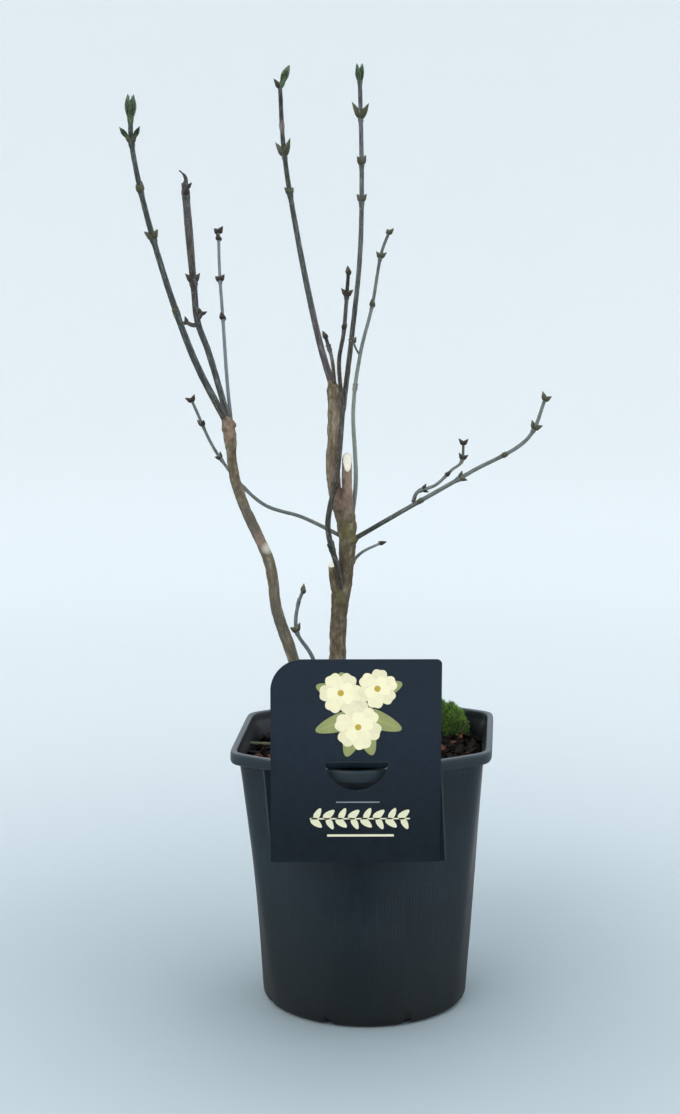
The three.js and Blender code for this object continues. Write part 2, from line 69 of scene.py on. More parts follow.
# Old wood: route from foot to fork, radius at both ends, flare at the foot, and knobs as
# [share of the length, how much fatter, half length]. rounded is how much of the upper end is rounded
# off, and cut is a pruning cut as (a point, its facing).
OLD_WOOD = {
    "stem_left": dict(
        route=[[-37, -12, 181], [-53, -14, 257], [-65, -16, 294], [-69.5, -17.5, 326], [-76.5, -19, 345],
               [-83.5, -21, 360], [-94.5, -26, 392], [-98.5, -30, 430]],
        radius=[4.8, 3.3], flare=3.2, knobs=[[0.97, 1.4, 8]], rounded=4),
    "stem_center": dict(
        route=[[-18, 0, 181], [-21, 2, 255], [-19, 3, 298], [-14.5, 2, 330], [-15, 1, 366]],
        radius=[6.2, 5.8], flare=4.6, knobs=[[0.66, 1.0, 9], [0.93, 1.3, 8]], rounded=5),
    "stub_left": dict(
        route=[[-18, 1, 298], [-23.5, -2, 313], [-24.5, -3, 330]],
        radius=[3.9, 3.2], flare=0.5, cut=([-24.5, -3, 326], [-0.35, -0.4, 0.85])),
    "stub_middle": dict(
        route=[[-14, 0, 352], [-14.6, -4.5, 373], [-15, -7.5, 391], [-15, -9, 408]],
        radius=[4.4, 3.3], flare=0.4, rounded=4, cut=([-15, -8.8, 405], [0.12, -0.95, 0.3])),
    "bough_center": dict(
        route=[[-15, 1, 352], [-22, -1, 373], [-25, -2, 394], [-24, -1, 424], [-24, 0, 455]],
        radius=[5.1, 4.7], flare=0.3, knobs=[[0.98, 0.8, 6]], rounded=3.5),
}

# The slender bough is young bark like the shoots, and ends in a fork.
SLENDER = dict(
    route=[[-18, 2, 300], [-21, -9, 322], [-28.5, -13, 355], [-22, -12.5, 394], [-18, -10, 442]],
    radius=[2.1, 1.9], share=1, nodes=[60, 104], bearings=[0, 40], tip="fork",
    bark="umber umber pine pine umber umber drab drab", knobs=[[1, 0.5, 4]], buds="brown")

# Shoots: share is the part that is bough, nodes are bud pairs in millimetres below the tip, bearings
# are those of the tip's buds and of the first pair, and spurs are [below the tip, length, bearing,
# lean]. bark names tones from foot to tip at even steps, and buds the tone of the bud scales. small
# gives pairs a size, plump a girth, and tip_buds are (size, lean, how far below the tip, girth).
SHOOTS = {
    "left_outer": dict(
        route=[[-97, -29, 426], [-122.9, -42, 480], [-150, -62, 568], [-161, -72, 625], [-161, -75, 646]],
        radius=[2.6, 1.6], share=0.55, nodes=[22, 55, 88, 142], bearings=[0, 20], tip="open", leafy=True,
        tip_buds=[(1.25, 5.5, 11, 0.95), (1.25, 5.5, 11, 0.95)],
        bark="umber slate*5 fern", buds="olive"),
    "left_middle": dict(
        route=[[-97, -28, 427], [-113.2, -12, 480], [-120.8, -4, 500], [-124, 4, 527], [-130, 13, 597]],
        radius=[2.2, 2.3], share=0.36, nodes=[9, 70], bearings=[0, 70],
        spurs=[[101, 10, 0, 76], [97, 6, 190, 55]], tip="dead", knobs=[[0.82, 0.6, 30]],
        bark="umber slate slate dusk ink umber plum slate", buds="brown"),
    "left_inner": dict(
        route=[[-96.5, -28, 427], [-100, -8, 456], [-104, 24, 500], [-107, 46, 535], [-108, 59, 563]],
        radius=[1.35, 1.05], share=0.5, nodes=[8, 40, 72], bearings=[30, 285], tip="closed", plump=1.3,
        bark="umber steel*7", buds="brown"),
    "top_left": dict(
        route=[[-23.5, 1, 449], [-34, 10, 483], [-50.5, 42, 560], [-60.2, 54, 621], [-63, 58, 668]],
        radius=[2.5, 1.5], share=0.45, nodes=[52, 80, 30], bearings=[10, 45], tip="open",
        tip_buds=[(0.5, 32, 3.5, 1.25), (1.05, 26, 3.5, 1.4)], small={2: 0.4},
        bark="umber plum*10 slate*10 pine*11 blush ink*5", buds="olive"),
    "tall": dict(
        route=[[-18, -10, 439], [-12, -3, 488], [-6, 6, 547], [-5, 8, 600], [-7, -2, 670]],
        radius=[1.9, 1.5], share=0.42, nodes=[28, 60, 86], bearings=[0, 40], tip="open",
        bark="umber drab dusk ash ash ash mauve slate", buds="olive"),
    "right": dict(
        route=[[-12, 3, 352], [-8, 13, 383], [-9.5, 30, 436], [-4, 44, 475], [4.6, 55.5, 508], [12, 70, 547],
               [18, 76, 562]],
        radius=[1.7, 1.1], share=0.46, nodes=[22, 60, 122], bearings=[60, 20], spurs=[[98, 12, 0, 42]],
        tip="closed", small={2: 0.5}, bark="drab silver silver silver mist mist ash ash", buds="olive"),
    "low_left": dict(
        route=[[-14, 3, 343], [-46, 15, 357], [-76, 6, 369], [-107, -2, 405], [-126, -12, 447]],
        radius=[1.5, 1.0], share=0.46, nodes=[22, 50, 78], bearings=[10, 50], tip="closed", small={2: 0.45},
        bark="drab mist*6", buds="brown"),
    "low_right": dict(
        route=[[-12, 1, 342], [20, -26, 366], [69, -60, 401], [107, -76, 427], [118, -83, 456]],
        radius=[1.8, 1.2], share=0.33, nodes=[24, 54, 90, 128], bearings=[40, 10], tip="closed",
        bark="drab slate ash mist*5", buds="olive"),
    "low_fork": dict(
        route=[[31, -35, 376], [34, -34, 383], [47, -32, 388], [59, -28, 398.5], [65.5, -26, 403.5],
               [67, -25, 418.5]],
        radius=[1.3, 0.9], share=0, nodes=[13, 30, 50], bearings=[20, 0], tip="closed",
        bark="plum mist*4 ash dusk", buds="brown"),
    "short_left": dict(
        route=[[-23.5, -1, 450], [-26, -7, 475], [-31, -11, 492]],
        radius=[1.5, 1.2], share=0, nodes=[10], bearings=[80, 10], tip="closed", small={0: 0.5},
        bark="umber*3 blush plum dusk", buds="brown"),
    "short_front": dict(
        route=[[-18, -10, 438], [-21, -17, 474], [-18, -21, 494], [-15, -32, 538]],
        radius=[1.6, 1.3], share=0, nodes=[18, 42], bearings=[80, 10], tip="closed",
        bark="umber*3 dusk plum plum dusk dusk", buds="brown"),
    "spur": dict(
        route=[[-12, 3, 325], [-3, 12, 332], [12, 24, 337]],
        radius=[1.2, 0.9], share=0, nodes=[], bearings=[90, 0], tip="closed",
        bark="drab drab mist steel steel", buds="brown"),
    "foot": dict(
        route=[[-27, -22, 181], [-39, -34, 262], [-51, -38, 284], [-50, -42, 304], [-46, -46, 316]],
        radius=[1.9, 1.2], share=0.74, nodes=[12, 34], bearings=[75, 60], tip="closed", small={0: 0.6},
        bark="drab drab steel steel", buds="olive"),
}

# Young lilac bark in its plain base tones.
BARK_TONES = {
    "umber": "#40372d",
    "plum": "#494144",
    "dusk": "#2b2a29",
    "drab": "#403e35",
    "slate": "#393f3c",
    "ash": "#4d524d",
    "mist": "#676d6a",
    "steel": "#6a7175",
    "silver": "#848a81",
    "mauve": "#5b5961",
    "blush": "#73665f",
    "pine": "#31372f",
    "fern": "#2e3d33",
    "ink": "#28262a",
}

# A bud's length and greatest radius, and how far it leans off its twig. core is how much of that
# length and radius the closed foot of an opening bud has, and leaves are (length, bend) of its leaves.
BUD = dict(length=7.2, width=1.8, lean=41)
OPEN_BUD = dict(length=17, width=2.8, lean=7, sink=7, core=(0.7, 0.44),
                leaves=[(0.92, 0.06), (0.88, 0.09), (0.82, 0.1), (0.78, 0.11), (0.86, 0.01)])
OPEN_SIDE_BUD = dict(length=13, width=2.0, lean=35, core=(0.62, 0.9))
DEAD_BUD = dict(length=5.4, width=1.3)
# A tip's bud under this size stays shut.
CLOSED_UNDER = 0.8
BUD_TONES = {
    "green": ("#36432f", "#6f8459"),
    "olive": ("#302e22", "#5f6244"),
    "brown": ("#241d19", "#4d4235"),
}
# Bud scales in opposite pairs, each as (start, length, half angle, how far it stands off).
SCALE_PAIRS = [(0.0, 0.42, 80, 0.16), (0.08, 0.58, 74, 0.11), (0.24, 0.62, 66, 0.07), (0.42, 0.58, 58, 0.03)]
SPUR = dict(middle=0.45, upturn=0.35, root_radius=0.75, tip_radius=0.6, bud_scale=0.7)

# Shoots whose swollen feet are part of the old wood's skin.
ON_OLD_WOOD = ("left_outer", "left_middle", "left_inner", "top_left", "right", "low_left", "low_right",
               "short_left", "spur", "slender")

# Places on the old wood with a colour of their own, as (x, y, z, reach), under each colour's strength.
BARK_PATCHES = {
    "olive": (0.6, [(-13, -5, 350, 8.5), (-20, -3, 300, 5)]),
    "pink": (0.75, [(-18, -4, 381, 15), (-10, -6, 372, 7), (-76, -24, 348, 7), (-97, -32, 427, 6.5)]),
    "umber": (0.65, [(-17, 1, 325, 34), (-18, 2, 290, 26), (-97, -27, 402, 24), (-24, 0, 452, 6)]),
    "grey": (0.6, [(-60, -15, 290, 34), (-82, -20, 356, 30)]),
}
# A graze on the left stem that bares the wood, as (x, y, z, reach).
WOOD_SCAR = (-71.8, -21, 341, 3.4)

# ------------------------------------------------------------------ the pot and what is in it

POT = dict(height=200, rim_apothem=93.5, rim_depth=9, rim_width=4.6, neck_apothem=87.5, foot_radius=75.5,
           wall=1.5, floor=2.5, bulge=1.04, blunted=1.16, sharpness=30, skew=0.1)
NECK = POT["height"] - POT["rim_depth"]
DRAIN = dict(count=8, width=9, height=5, reach=8)
COMPOST_LEVEL = 184
MOSS = dict(x=56, y=52, radius=14, height=27, lumps=[[0, 0, 1], [10, -1, 0.88], [-8, 6, 0.6]])
CARD = dict(centre=-10.5, face=-108, bottom=136, width=117, height=143.5, thickness=0.8, big=22, small=3.5)
TONGUE = dict(x=-9.9, width=43.6, hinge=207.7, drop=20.6, seat=1.2, slope=8, crest=17, reach=24, dip=9)
CARD_LEFT, CARD_RIGHT = [CARD["centre"] + side * CARD["width"] / 2 for side in (-1, 1)]
# left and right are how far the sleeve's upper and lower corners stand past the card's sides.
SLEEVE = dict(top=202, lap=6, hem=0.9, left=(-5.3, 0.6), right=(0.8, 4.6))

# The printed motif: leaves as (x, z, length, degrees), blossoms as (x, z, size), a garland, and rules as
# (ink, left, right, bottom, top). Each ink prints one piece, in an sRGB colour.
SPRAY = [(-9, 240, 31, 200), (-8, 242, 31, -22), (-10, 246, 27, 115), (-8, 248, 27, 60),
         (-9, 236, 26, 252), (-7, 237, 26, -72), (-10, 250, 30, 158), (-6, 252, 29, 22)]
BLOSSOMS = [(-21, 256, 15.5), (4, 259, 14.5), (-9, 232, 17)]
BORDER = dict(x=-41, z=167, step=8.6, count=8)
RULES = [("grey_ink", -24, 6, 178.4, 179.2), ("buff_ink", -42, 27, 166.5, 167.5),
         ("buff_ink", -30, 16, 154.2, 155.8)]
INKS = {"cream_ink": ("printed_blossoms", "#fbf0c8"), "ochre_ink": ("printed_hearts", "#c4a63e"),
        "leaf_green_ink": ("printed_leaves", "#a3a86c"), "buff_ink": ("printed_border", "#e6e1bf"),
        "grey_ink": ("printed_rule", "#8c9498")}

# How far inside the pot's outer face the compost ends.
COMPOST_INSET = POT["wall"] + 0.5
# Chips and crumbs: length range, then width and thickness as shares of it, how far they tilt off level
# in radians, and how much of their depth is lifted over the surface.
FLAKE = dict(size=(2.6, 7.6), wide=(0.3, 0.75), thick=(0.1, 0.28), tilt=0.34, raised=0.7)
CRUMB = dict(size=(0.6, 1.7), wide=(0.6, 1), thick=(0.5, 0.9), tilt=0.5, raised=0.55)
# The share of the chips that are freshly broken, and so light.
FRESH_SHARE = 0.08

# ------------------------------------------------------------------ the stage, in metres

CAMERA = dict(place=(-0.05245, -1.5387, 0.61188), lens=69.787, yaw=-1.226, pitch=90 - 10.3597, roll=0.2093)
# Soft boxes: name, place, size, share of the key light's power, and colour.
LAMPS = [("key", (-1.5, -2.2, 2.6), 2.0, 1.0, "#fdfcf9"), ("fill", (2.4, -1.4, 1.6), 1.6, 0.34, "#f2f6ff"),
         ("top", (0.3, 0.6, 3.0), 1.8, 0.4, "#f6faff")]

# ------------------------------------------------------------------ points, noise and meshes


def smooth_noise(points, seed):
    """Smooth random heights from -1 to 1 at these places, with one bump to each unit."""
    cell = np.floor(points).astype(np.int64)
    part = points - cell
    part = part * part * (3 - 2 * part)
    total = np.zeros(points.shape[:-1])
    for corner in np.ndindex(2, 2, 2):
        x, y, z = np.moveaxis(cell + corner, -1, 0)
        key = (x * 73856093) ^ (y * 19349663) ^ (z * 83492791) ^ (seed * 26544357)
        key = ((key & 0xFFFFFFFF) * 1274126177 & 0xFFFFFFFF)
        key = ((key ^ (key >> 15)) * 2246822519 & 0xFFFFFFFF)
        key = key ^ (key >> 13)
        weight = np.prod(np.where(np.array(corner, bool), part, 1 - part), axis=-1)
        total += weight * (key / 2147483648.0 - 1)
    return total


def stepping_random(seed):
    """Repeatable random numbers, one at each call, as the solids' rule uses them."""
    state = seed
    while True:
        state = (state * 1664525 + 1013904223) % 4294967296
        yield state / 4294967296


def unit(vectors):
    return vectors / np.linalg.norm(vectors, axis=-1, keepdims=True)


class Limb:
    """One smooth curve of wood. Places on it are millimetres travelled from its foot."""

    def __init__(self, route):
        knots = np.array(route, float)
        ends = np.vstack([2 * knots[0] - knots[1], knots, 2 * knots[-1] - knots[-2]])
        rows = []
        t = np.linspace(0, 1, 60, endpoint=False)[:, None]
        for i in range(len(knots) - 1):
            p0, p1, p2, p3 = ends[i:i + 4]
            d0, d1, d2 = [np.sum((b - a) ** 2) ** 0.25 for a, b in ((p0, p1), (p1, p2), (p2, p3))]
            out = ((p1 - p0) / d0 - (p2 - p0) / (d0 + d1) + (p2 - p1) / d1) * d1
            into = ((p2 - p1) / d1 - (p3 - p1) / (d1 + d2) + (p3 - p2) / d2) * d1
            rows.append((2 * t ** 3 - 3 * t ** 2 + 1) * p1 + (t ** 3 - 2 * t ** 2 + t) * out
                        + (3 * t ** 2 - 2 * t ** 3) * p2 + (t ** 3 - t ** 2) * into)
        self.line = np.vstack(rows + [knots[-1:]])
        steps = np.linalg.norm(np.diff(self.line, axis=0), axis=1)
        self.travel = np.concatenate([[0], np.cumsum(steps)])
        self.length = self.travel[-1]

    def point(self, travelled):
        return np.stack([np.interp(travelled, self.travel, self.line[:, k]) for k in range(3)], axis=-1)

    def frames(self, travelled):
        """Point, along, away and across at each place, going straight on past both ends."""
        travelled = np.atleast_1d(np.asarray(travelled, float))
        inside = np.clip(travelled, 0, self.length)
        before, after = np.clip(inside - 0.4, 0, self.length), np.clip(inside + 0.4, 0, self.length)
        along = unit(self.point(after) - self.point(before))
        at = self.point(inside) + along * (travelled - inside)[:, None]
        away = unit(np.array([0.0, 1.0, 0.0]) - along * along[:, 1:2])
        return at, along, away, np.cross(along, away)

    def leaning(self, travelled, lean, bearing):
        """The place and a direction that leans off the limb by lean, at a bearing round it."""
        at, along, away, across = [rows[0] for rows in self.frames(travelled)]
        tilt, turn = math.radians(lean), math.radians(bearing)
        direction = (along * math.cos(tilt) + across * math.sin(tilt) * math.cos(turn)
                     + away * math.sin(tilt) * math.sin(turn))
        return at, unit(direction)


def grid_faces(rows, columns, closed, flip=False):
    """Quads between rows of points. closed joins the last column to the first."""
    row = np.arange(rows - 1)[:, None] * columns
    column = np.arange(columns if closed else columns - 1)[None, :]
    following = (column + 1) % columns
    a, b = row + column, row + following
    corners = [a, a + columns, b + columns, b] if flip else [a, b, b + columns, a + columns]
    return np.stack(corners, axis=-1).reshape(-1, 4)


def shell_faces(rows, columns, flip=False):
    """Faces of a shell of rows of points, closed by two end points that come after all the rows."""
    ring, count = np.arange(columns), rows * columns
    ahead = (ring + 1) % columns
    foot = np.stack([ring * 0 + count, ahead, ring], axis=-1)
    crown = np.stack([ring * 0 + count + 1, count - columns + ring, count - columns + ahead], axis=-1)
    ends = [end[:, ::-1] if flip else end for end in (foot, crown)]
    return [grid_faces(rows, columns, True, flip), *ends]


class Heap:
    """Points and faces of many like things, gathered into one joined piece. A trait is one number for
    all the points added, or a row for each."""

    def __init__(self):
        self.points, self.faces, self.traits, self.count = [], [], {}, 0

    def add(self, points, faces, **traits):
        points = np.asarray(points, float).reshape(-1, 3)
        for group in faces:
            self.faces.extend((np.asarray(group) + self.count).tolist())
        for trait, values in traits.items():
            values = np.asarray(values, float)
            self.traits.setdefault(trait, []).append(values if values.ndim else np.full(len(points), values))
        self.points.append(points)
        self.count += len(points)


TRAIT_KINDS = {1: ("FLOAT", "value"), 3: ("FLOAT_VECTOR", "vector"), 4: ("FLOAT_COLOR", "color")}


def set_trait(mesh, trait, values):
    """Stores a number, a vector or a colour with each point of a mesh."""
    kind, field = TRAIT_KINDS[1 if values.ndim == 1 else values.shape[1]]
    mesh.attributes.new(trait, kind, "POINT").data.foreach_set(field, values.ravel())


def heap_mesh(name, heap):
    mesh = bpy.data.meshes.new(name)
    mesh.from_pydata((np.vstack(heap.points) * MM).tolist(), [], heap.faces)
    for trait, rows in heap.traits.items():
        set_trait(mesh, trait, np.concatenate(rows))
    return mesh


def join_piece(name, heap, finish, nodes=(), smooth=True):
    """One object from a heap, riding on the body and standing for its CAD nodes."""
    return place_piece(bpy.data.objects.new(name, heap_mesh(name, heap)), finish, nodes, smooth)


def place_piece(piece, finish, nodes=(), smooth=True):
    piece.data.polygons.foreach_set("use_smooth", np.full(len(piece.data.polygons), smooth))
    piece.data.materials.clear()
    piece.data.materials.append(finish)
    piece.data.validate()
    piece.data.update()
    bpy.context.scene.collection.objects.link(piece)
    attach(piece, "root")
    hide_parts(*nodes)
    return piece


def with_modifier(piece, kind, **settings):
    """Applies one modifier to an object that isn't in the scene yet."""
    bpy.context.scene.collection.objects.link(piece)
    modifier = piece.modifiers.new(kind, kind)
    for name, value in settings.items():
        setattr(modifier, name, value)
    graph = bpy.context.evaluated_depsgraph_get()
    result = bpy.data.meshes.new_from_object(piece.evaluated_get(graph))
    name = piece.name
    bpy.data.objects.remove(piece)
    return bpy.data.objects.new(name, result)


# ------------------------------------------------------------------ materials

# A Mix node of two colours: input 0 is the share, 6 the first colour and 7 the second.
COLOUR_MIX = dict(kind="Mix", out=2, data_type="RGBA")


def fill(node, inputs):
    """Links or sets a node's inputs, given by name or number, or as a row in the sockets' order."""
    for socket, value in (inputs.items() if isinstance(inputs, dict) else enumerate(inputs)):
        if isinstance(value, bpy.types.NodeSocket):
            node.id_data.links.new(value, node.inputs[socket])
        else:
            node.inputs[socket].default_value = value


def add_node(tree, kind, inputs=(), out=0, stops=(), **settings):
    """Adds a shader node with its settings, its inputs and a ramp's stops, and gives one output. The
    row of a MapRange is the value, the range it comes from and the range it is held to."""
    made = tree.nodes.new("ShaderNode" + kind)
    for name, value in settings.items():
        setattr(made, name, value)
    for i, (place, colour) in enumerate(stops):
        elements = made.color_ramp.elements
        element = elements[i] if i < 2 else elements.new(place)
        element.position, element.color = place, colour
    fill(made, inputs)
    return made.outputs[out]


def new_finish(name, **values):
    """A material with a Principled shader that has these plain values."""
    finish = bpy.data.materials.new(name)
    finish.use_nodes = True
    shader = finish.node_tree.nodes["Principled BSDF"]
    fill(shader, {socket.replace("_", " "): value for socket, value in values.items()})
    return finish, finish.node_tree, shader


def thermoformed_polypropylene(settings):
    """Recycled polypropylene, thermoformed: blue-black and satin, with dust in the ribs and soil
    dried on near the foot. Painted shade darkens the wall towards the bottom and along the foot, the rim's
    top carries a painted highlight, and the inside is painted dark as shade."""
    finish, tree, shader = new_finish("thermoformed_polypropylene", IOR=1.49, Specular_IOR_Level=0.6)
    place = add_node(tree, "TexCoord", out="Object")
    height = add_node(tree, "SeparateXYZ", [place], "Z")
    zone = add_node(tree, "Attribute", out="Vector", attribute_name="zone")
    rim, rim_top, inside = add_node(tree, "SeparateXYZ", [zone]).node.outputs
    groove = add_node(tree, "Attribute", out="Fac", attribute_name="groove")
    # Regrind clouds the colour over about 45 mm and 70 mm, blue in places and purple-grey in others.
    cloud = add_node(tree, "TexNoise", {"Vector": place, "Scale": 1 / 0.045, "Detail": 3.0})
    purple = add_node(tree, "TexNoise", {"Vector": place, "Scale": 1 / 0.07, "Detail": 1.0,
                                         "Distortion": 0.4})
    # Streaks run down the wall, 3 mm wide and 60 mm long, and hold dust in the grooves.
    flow = add_node(tree, "Mapping", {"Vector": place, "Scale": (1 / 0.003, 1 / 0.003, 1 / 0.06)})
    streak = add_node(tree, "TexNoise", {"Vector": flow, "Scale": 1.0, "Detail": 2.0})
    streaks = add_node(tree, "MapRange", (streak, 0.5, 0.78, 0.0, 0.15))
    dust = add_node(tree, "Math", (streaks, groove), operation="MULTIPLY")
    # Scuffs: short pale rubs, 1 mm high and 12 mm long, where pots stood against each other.
    rub = add_node(tree, "Mapping", {"Vector": place, "Scale": (1 / 0.012, 1 / 0.012, 1 / 0.001)})
    scuff = add_node(tree, "TexNoise", {"Vector": rub, "Scale": 1.0, "Detail": 3.0, "Roughness": 0.7})
    # Dried splashes of compost, up to 45 mm above the foot.
    splash = add_node(tree, "TexNoise", {"Vector": place, "Scale": 1 / 0.014, "Detail": 5.0,
                                         "Roughness": 0.62})
    soil = add_node(tree, "Math", (splash, add_node(tree, "MapRange", (height, 0.0, 0.06, 0.14, -0.16))))
    # Painted highlight: the rim's top is painted pale where light falls on it, unevenly in clouds.
    rim_top_highlight = add_node(tree, "Math", (rim_top, add_node(tree, "MapRange", (cloud, 0.3, 0.6, 0.5, 1.0))),
                      operation="MULTIPLY")
    # What lies over the wall's own colour: where, from which to which value, at which shares, and a colour.
    wall = settings.wall_colour
    for *where, over in ((cloud, 0.35, 0.7, 0.0, 1.0, linear("#182c36")),
                         (purple, 0.5, 0.72, 0.0, 0.5, linear("#25272f")),
                         (dust, 0.0, 1.0, 0.0, 1.0, linear("#40545d")),
                         (scuff, 0.62, 0.8, 0.0, 0.3, linear("#4d626c")),
                         (soil, 0.54, 0.72, 0.0, 0.7, settings.soil_colour),
                         # Painted shade: the wall darkens towards the bottom, and is nearly black along the
                         # foot where it meets the floor.
                         (height, 0.12, 0.01, 0.0, 0.8, linear("#0c1819")),
                         (height, 0.006, 0.0015, 0.0, 1.0, linear("#0c0f10")),
                         (rim, 0.0, 1.0, 0.0, 1.0, settings.rim_colour),
                         (rim_top_highlight, 0.0, 1.0, 0.0, 1.0, settings.rim_top_colour),
                         # Painted shade: the inside of the pot is painted dark.
                         (inside, 0.0, 1.0, 0.0, 1.0, linear("#0f171b"))):
        wall = add_node(tree, inputs={0: add_node(tree, "MapRange", where), 6: wall, 7: over}, **COLOUR_MIX)
    # Gloss varies with the clouds, and the low wall is dull with dried soil.
    dull = add_node(tree, "Math", [add_node(tree, "MapRange", where) for where in
                                   ((cloud, 0.3, 0.7, 0.38, 0.52), (height, 0.12, 0.01, 0.0, 0.36))])
    # The press leaves a fine pebble, 0.6 mm across.
    pebble = add_node(tree, "TexNoise", {"Vector": place, "Scale": 1 / 0.0006, "Detail": 1.0})
    bump = add_node(tree, "Bump", {"Height": pebble, "Strength": 0.12, "Distance": 0.0002})
    fill(shader, {"Base Color": wall, "Roughness": dull, "Normal": bump})
    return finish


def damp_bark_fines():
    """Composted bark fines, damp: nearly black crumbs, each a few millimetres, without gloss."""
    finish, tree, shader = new_finish("damp_bark_fines", Roughness=0.93, IOR=1.4, Specular_IOR_Level=0.12)
    place = add_node(tree, "TexCoord", out="Object")
    crumb = add_node(tree, "TexNoise", {"Vector": place, "Scale": 1 / 0.0028, "Detail": 4.0,
                                        "Roughness": 0.7})
    share = add_node(tree, "MapRange", (crumb, 0.36, 0.68))
    colour = add_node(tree, inputs={0: share, 6: linear("#060505"), 7: linear("#15110d")}, **COLOUR_MIX)
    bump = add_node(tree, "Bump", {"Height": crumb, "Strength": 0.9, "Distance": 0.0012})
    fill(shader, {"Base Color": colour, "Normal": bump})
    return finish


def broken_pine_bark(name, dark, light):
    """Broken pine bark, tumbled: cork layers 1.6 mm apart show as stripes across each flake."""
    finish, tree, shader = new_finish(name, Roughness=0.86, IOR=1.45, Specular_IOR_Level=0.15)
    place = add_node(tree, "TexCoord", out="Object")
    layer = add_node(tree, "TexNoise", {"Vector": place, "Scale": 1 / 0.0016, "Detail": 3.0,
                                        "Distortion": 0.6})
    tone = add_node(tree, "Attribute", out="Fac", attribute_name="tone")
    share = add_node(tree, "Math", (add_node(tree, "MapRange", (layer, 0.3, 0.7, -0.3, 0.3)), tone))
    colour = add_node(tree, inputs={0: share, 6: linear(dark), 7: linear(light)}, **COLOUR_MIX)
    bump = add_node(tree, "Bump", {"Height": layer, "Strength": 0.6, "Distance": 0.0005})
    fill(shader, {"Base Color": colour, "Normal": bump})
    return finish


def living_moss():
    """Cushion moss: each shoot is 1 mm wide, dark at the base and lit yellow-green at the tip, in
    patches 7 mm across."""
    finish, tree, shader = new_finish("living_moss", Roughness=0.82, IOR=1.42)
    tip = add_node(tree, "Attribute", out="Fac", attribute_name="tip")
    place = add_node(tree, "TexCoord", out="Object")
    patch = add_node(tree, "TexNoise", {"Vector": place, "Scale": 1 / 0.007, "Detail": 2.0})
    share = add_node(tree, "MapRange", (patch, 0.35, 0.65))
    green = add_node(tree, inputs={0: share, 6: linear("#4c7623"), 7: linear("#7fa741")}, **COLOUR_MIX)
    colour = add_node(tree, inputs={0: tip, 6: linear("#152c09"), 7: green}, **COLOUR_MIX)
    fill(shader, {"Base Color": colour})
    return finish


def printed_polypropylene(name, ink, roughness, mottle=0.16, low_shade=0.0):
    """Matt polypropylene sheet, printed edge to edge. The ink lies in faint clouds 6 mm across, and
    painted shade may darken it from the middle of the card down."""
    finish, tree, shader = new_finish(name, Roughness=roughness, IOR=1.49, Specular_IOR_Level=0.3)
    place = add_node(tree, "TexCoord", out="Object")
    cloud = add_node(tree, "TexNoise", {"Vector": place, "Scale": 1 / 0.006, "Detail": 4.0, "Roughness": 0.6})
    thickness = add_node(tree, "MapRange", (cloud, 0.3, 0.7, -mottle, mottle))
    shade = add_node(tree, "Attribute", out="Fac", attribute_name="shade")
    thickness = add_node(tree, "Math", (thickness, shade))
    # Painted shade: the sheet is painted darker from the middle of the card down.
    if low_shade:
        height = add_node(tree, "SeparateXYZ", [place], "Z")
        lower = add_node(tree, "MapRange", (height, 0.235, 0.15, 0.0, low_shade))
        thickness = add_node(tree, "Math", (thickness, lower))
    thick_ink_and_shade = tuple(c * 0.45 for c in ink[:3]) + (1.0,)
    colour = add_node(tree, inputs={0: thickness, 6: ink, 7: thick_ink_and_shade}, **COLOUR_MIX)
    # Calendered sheet has a faint orange peel, 1.5 mm across.
    peel = add_node(tree, "TexNoise", {"Vector": place, "Scale": 1 / 0.0015, "Detail": 0.0})
    bump = add_node(tree, "Bump", {"Height": peel, "Strength": 0.05, "Distance": 0.0002})
    fill(shader, {"Base Color": colour, "Normal": bump})
    return finish


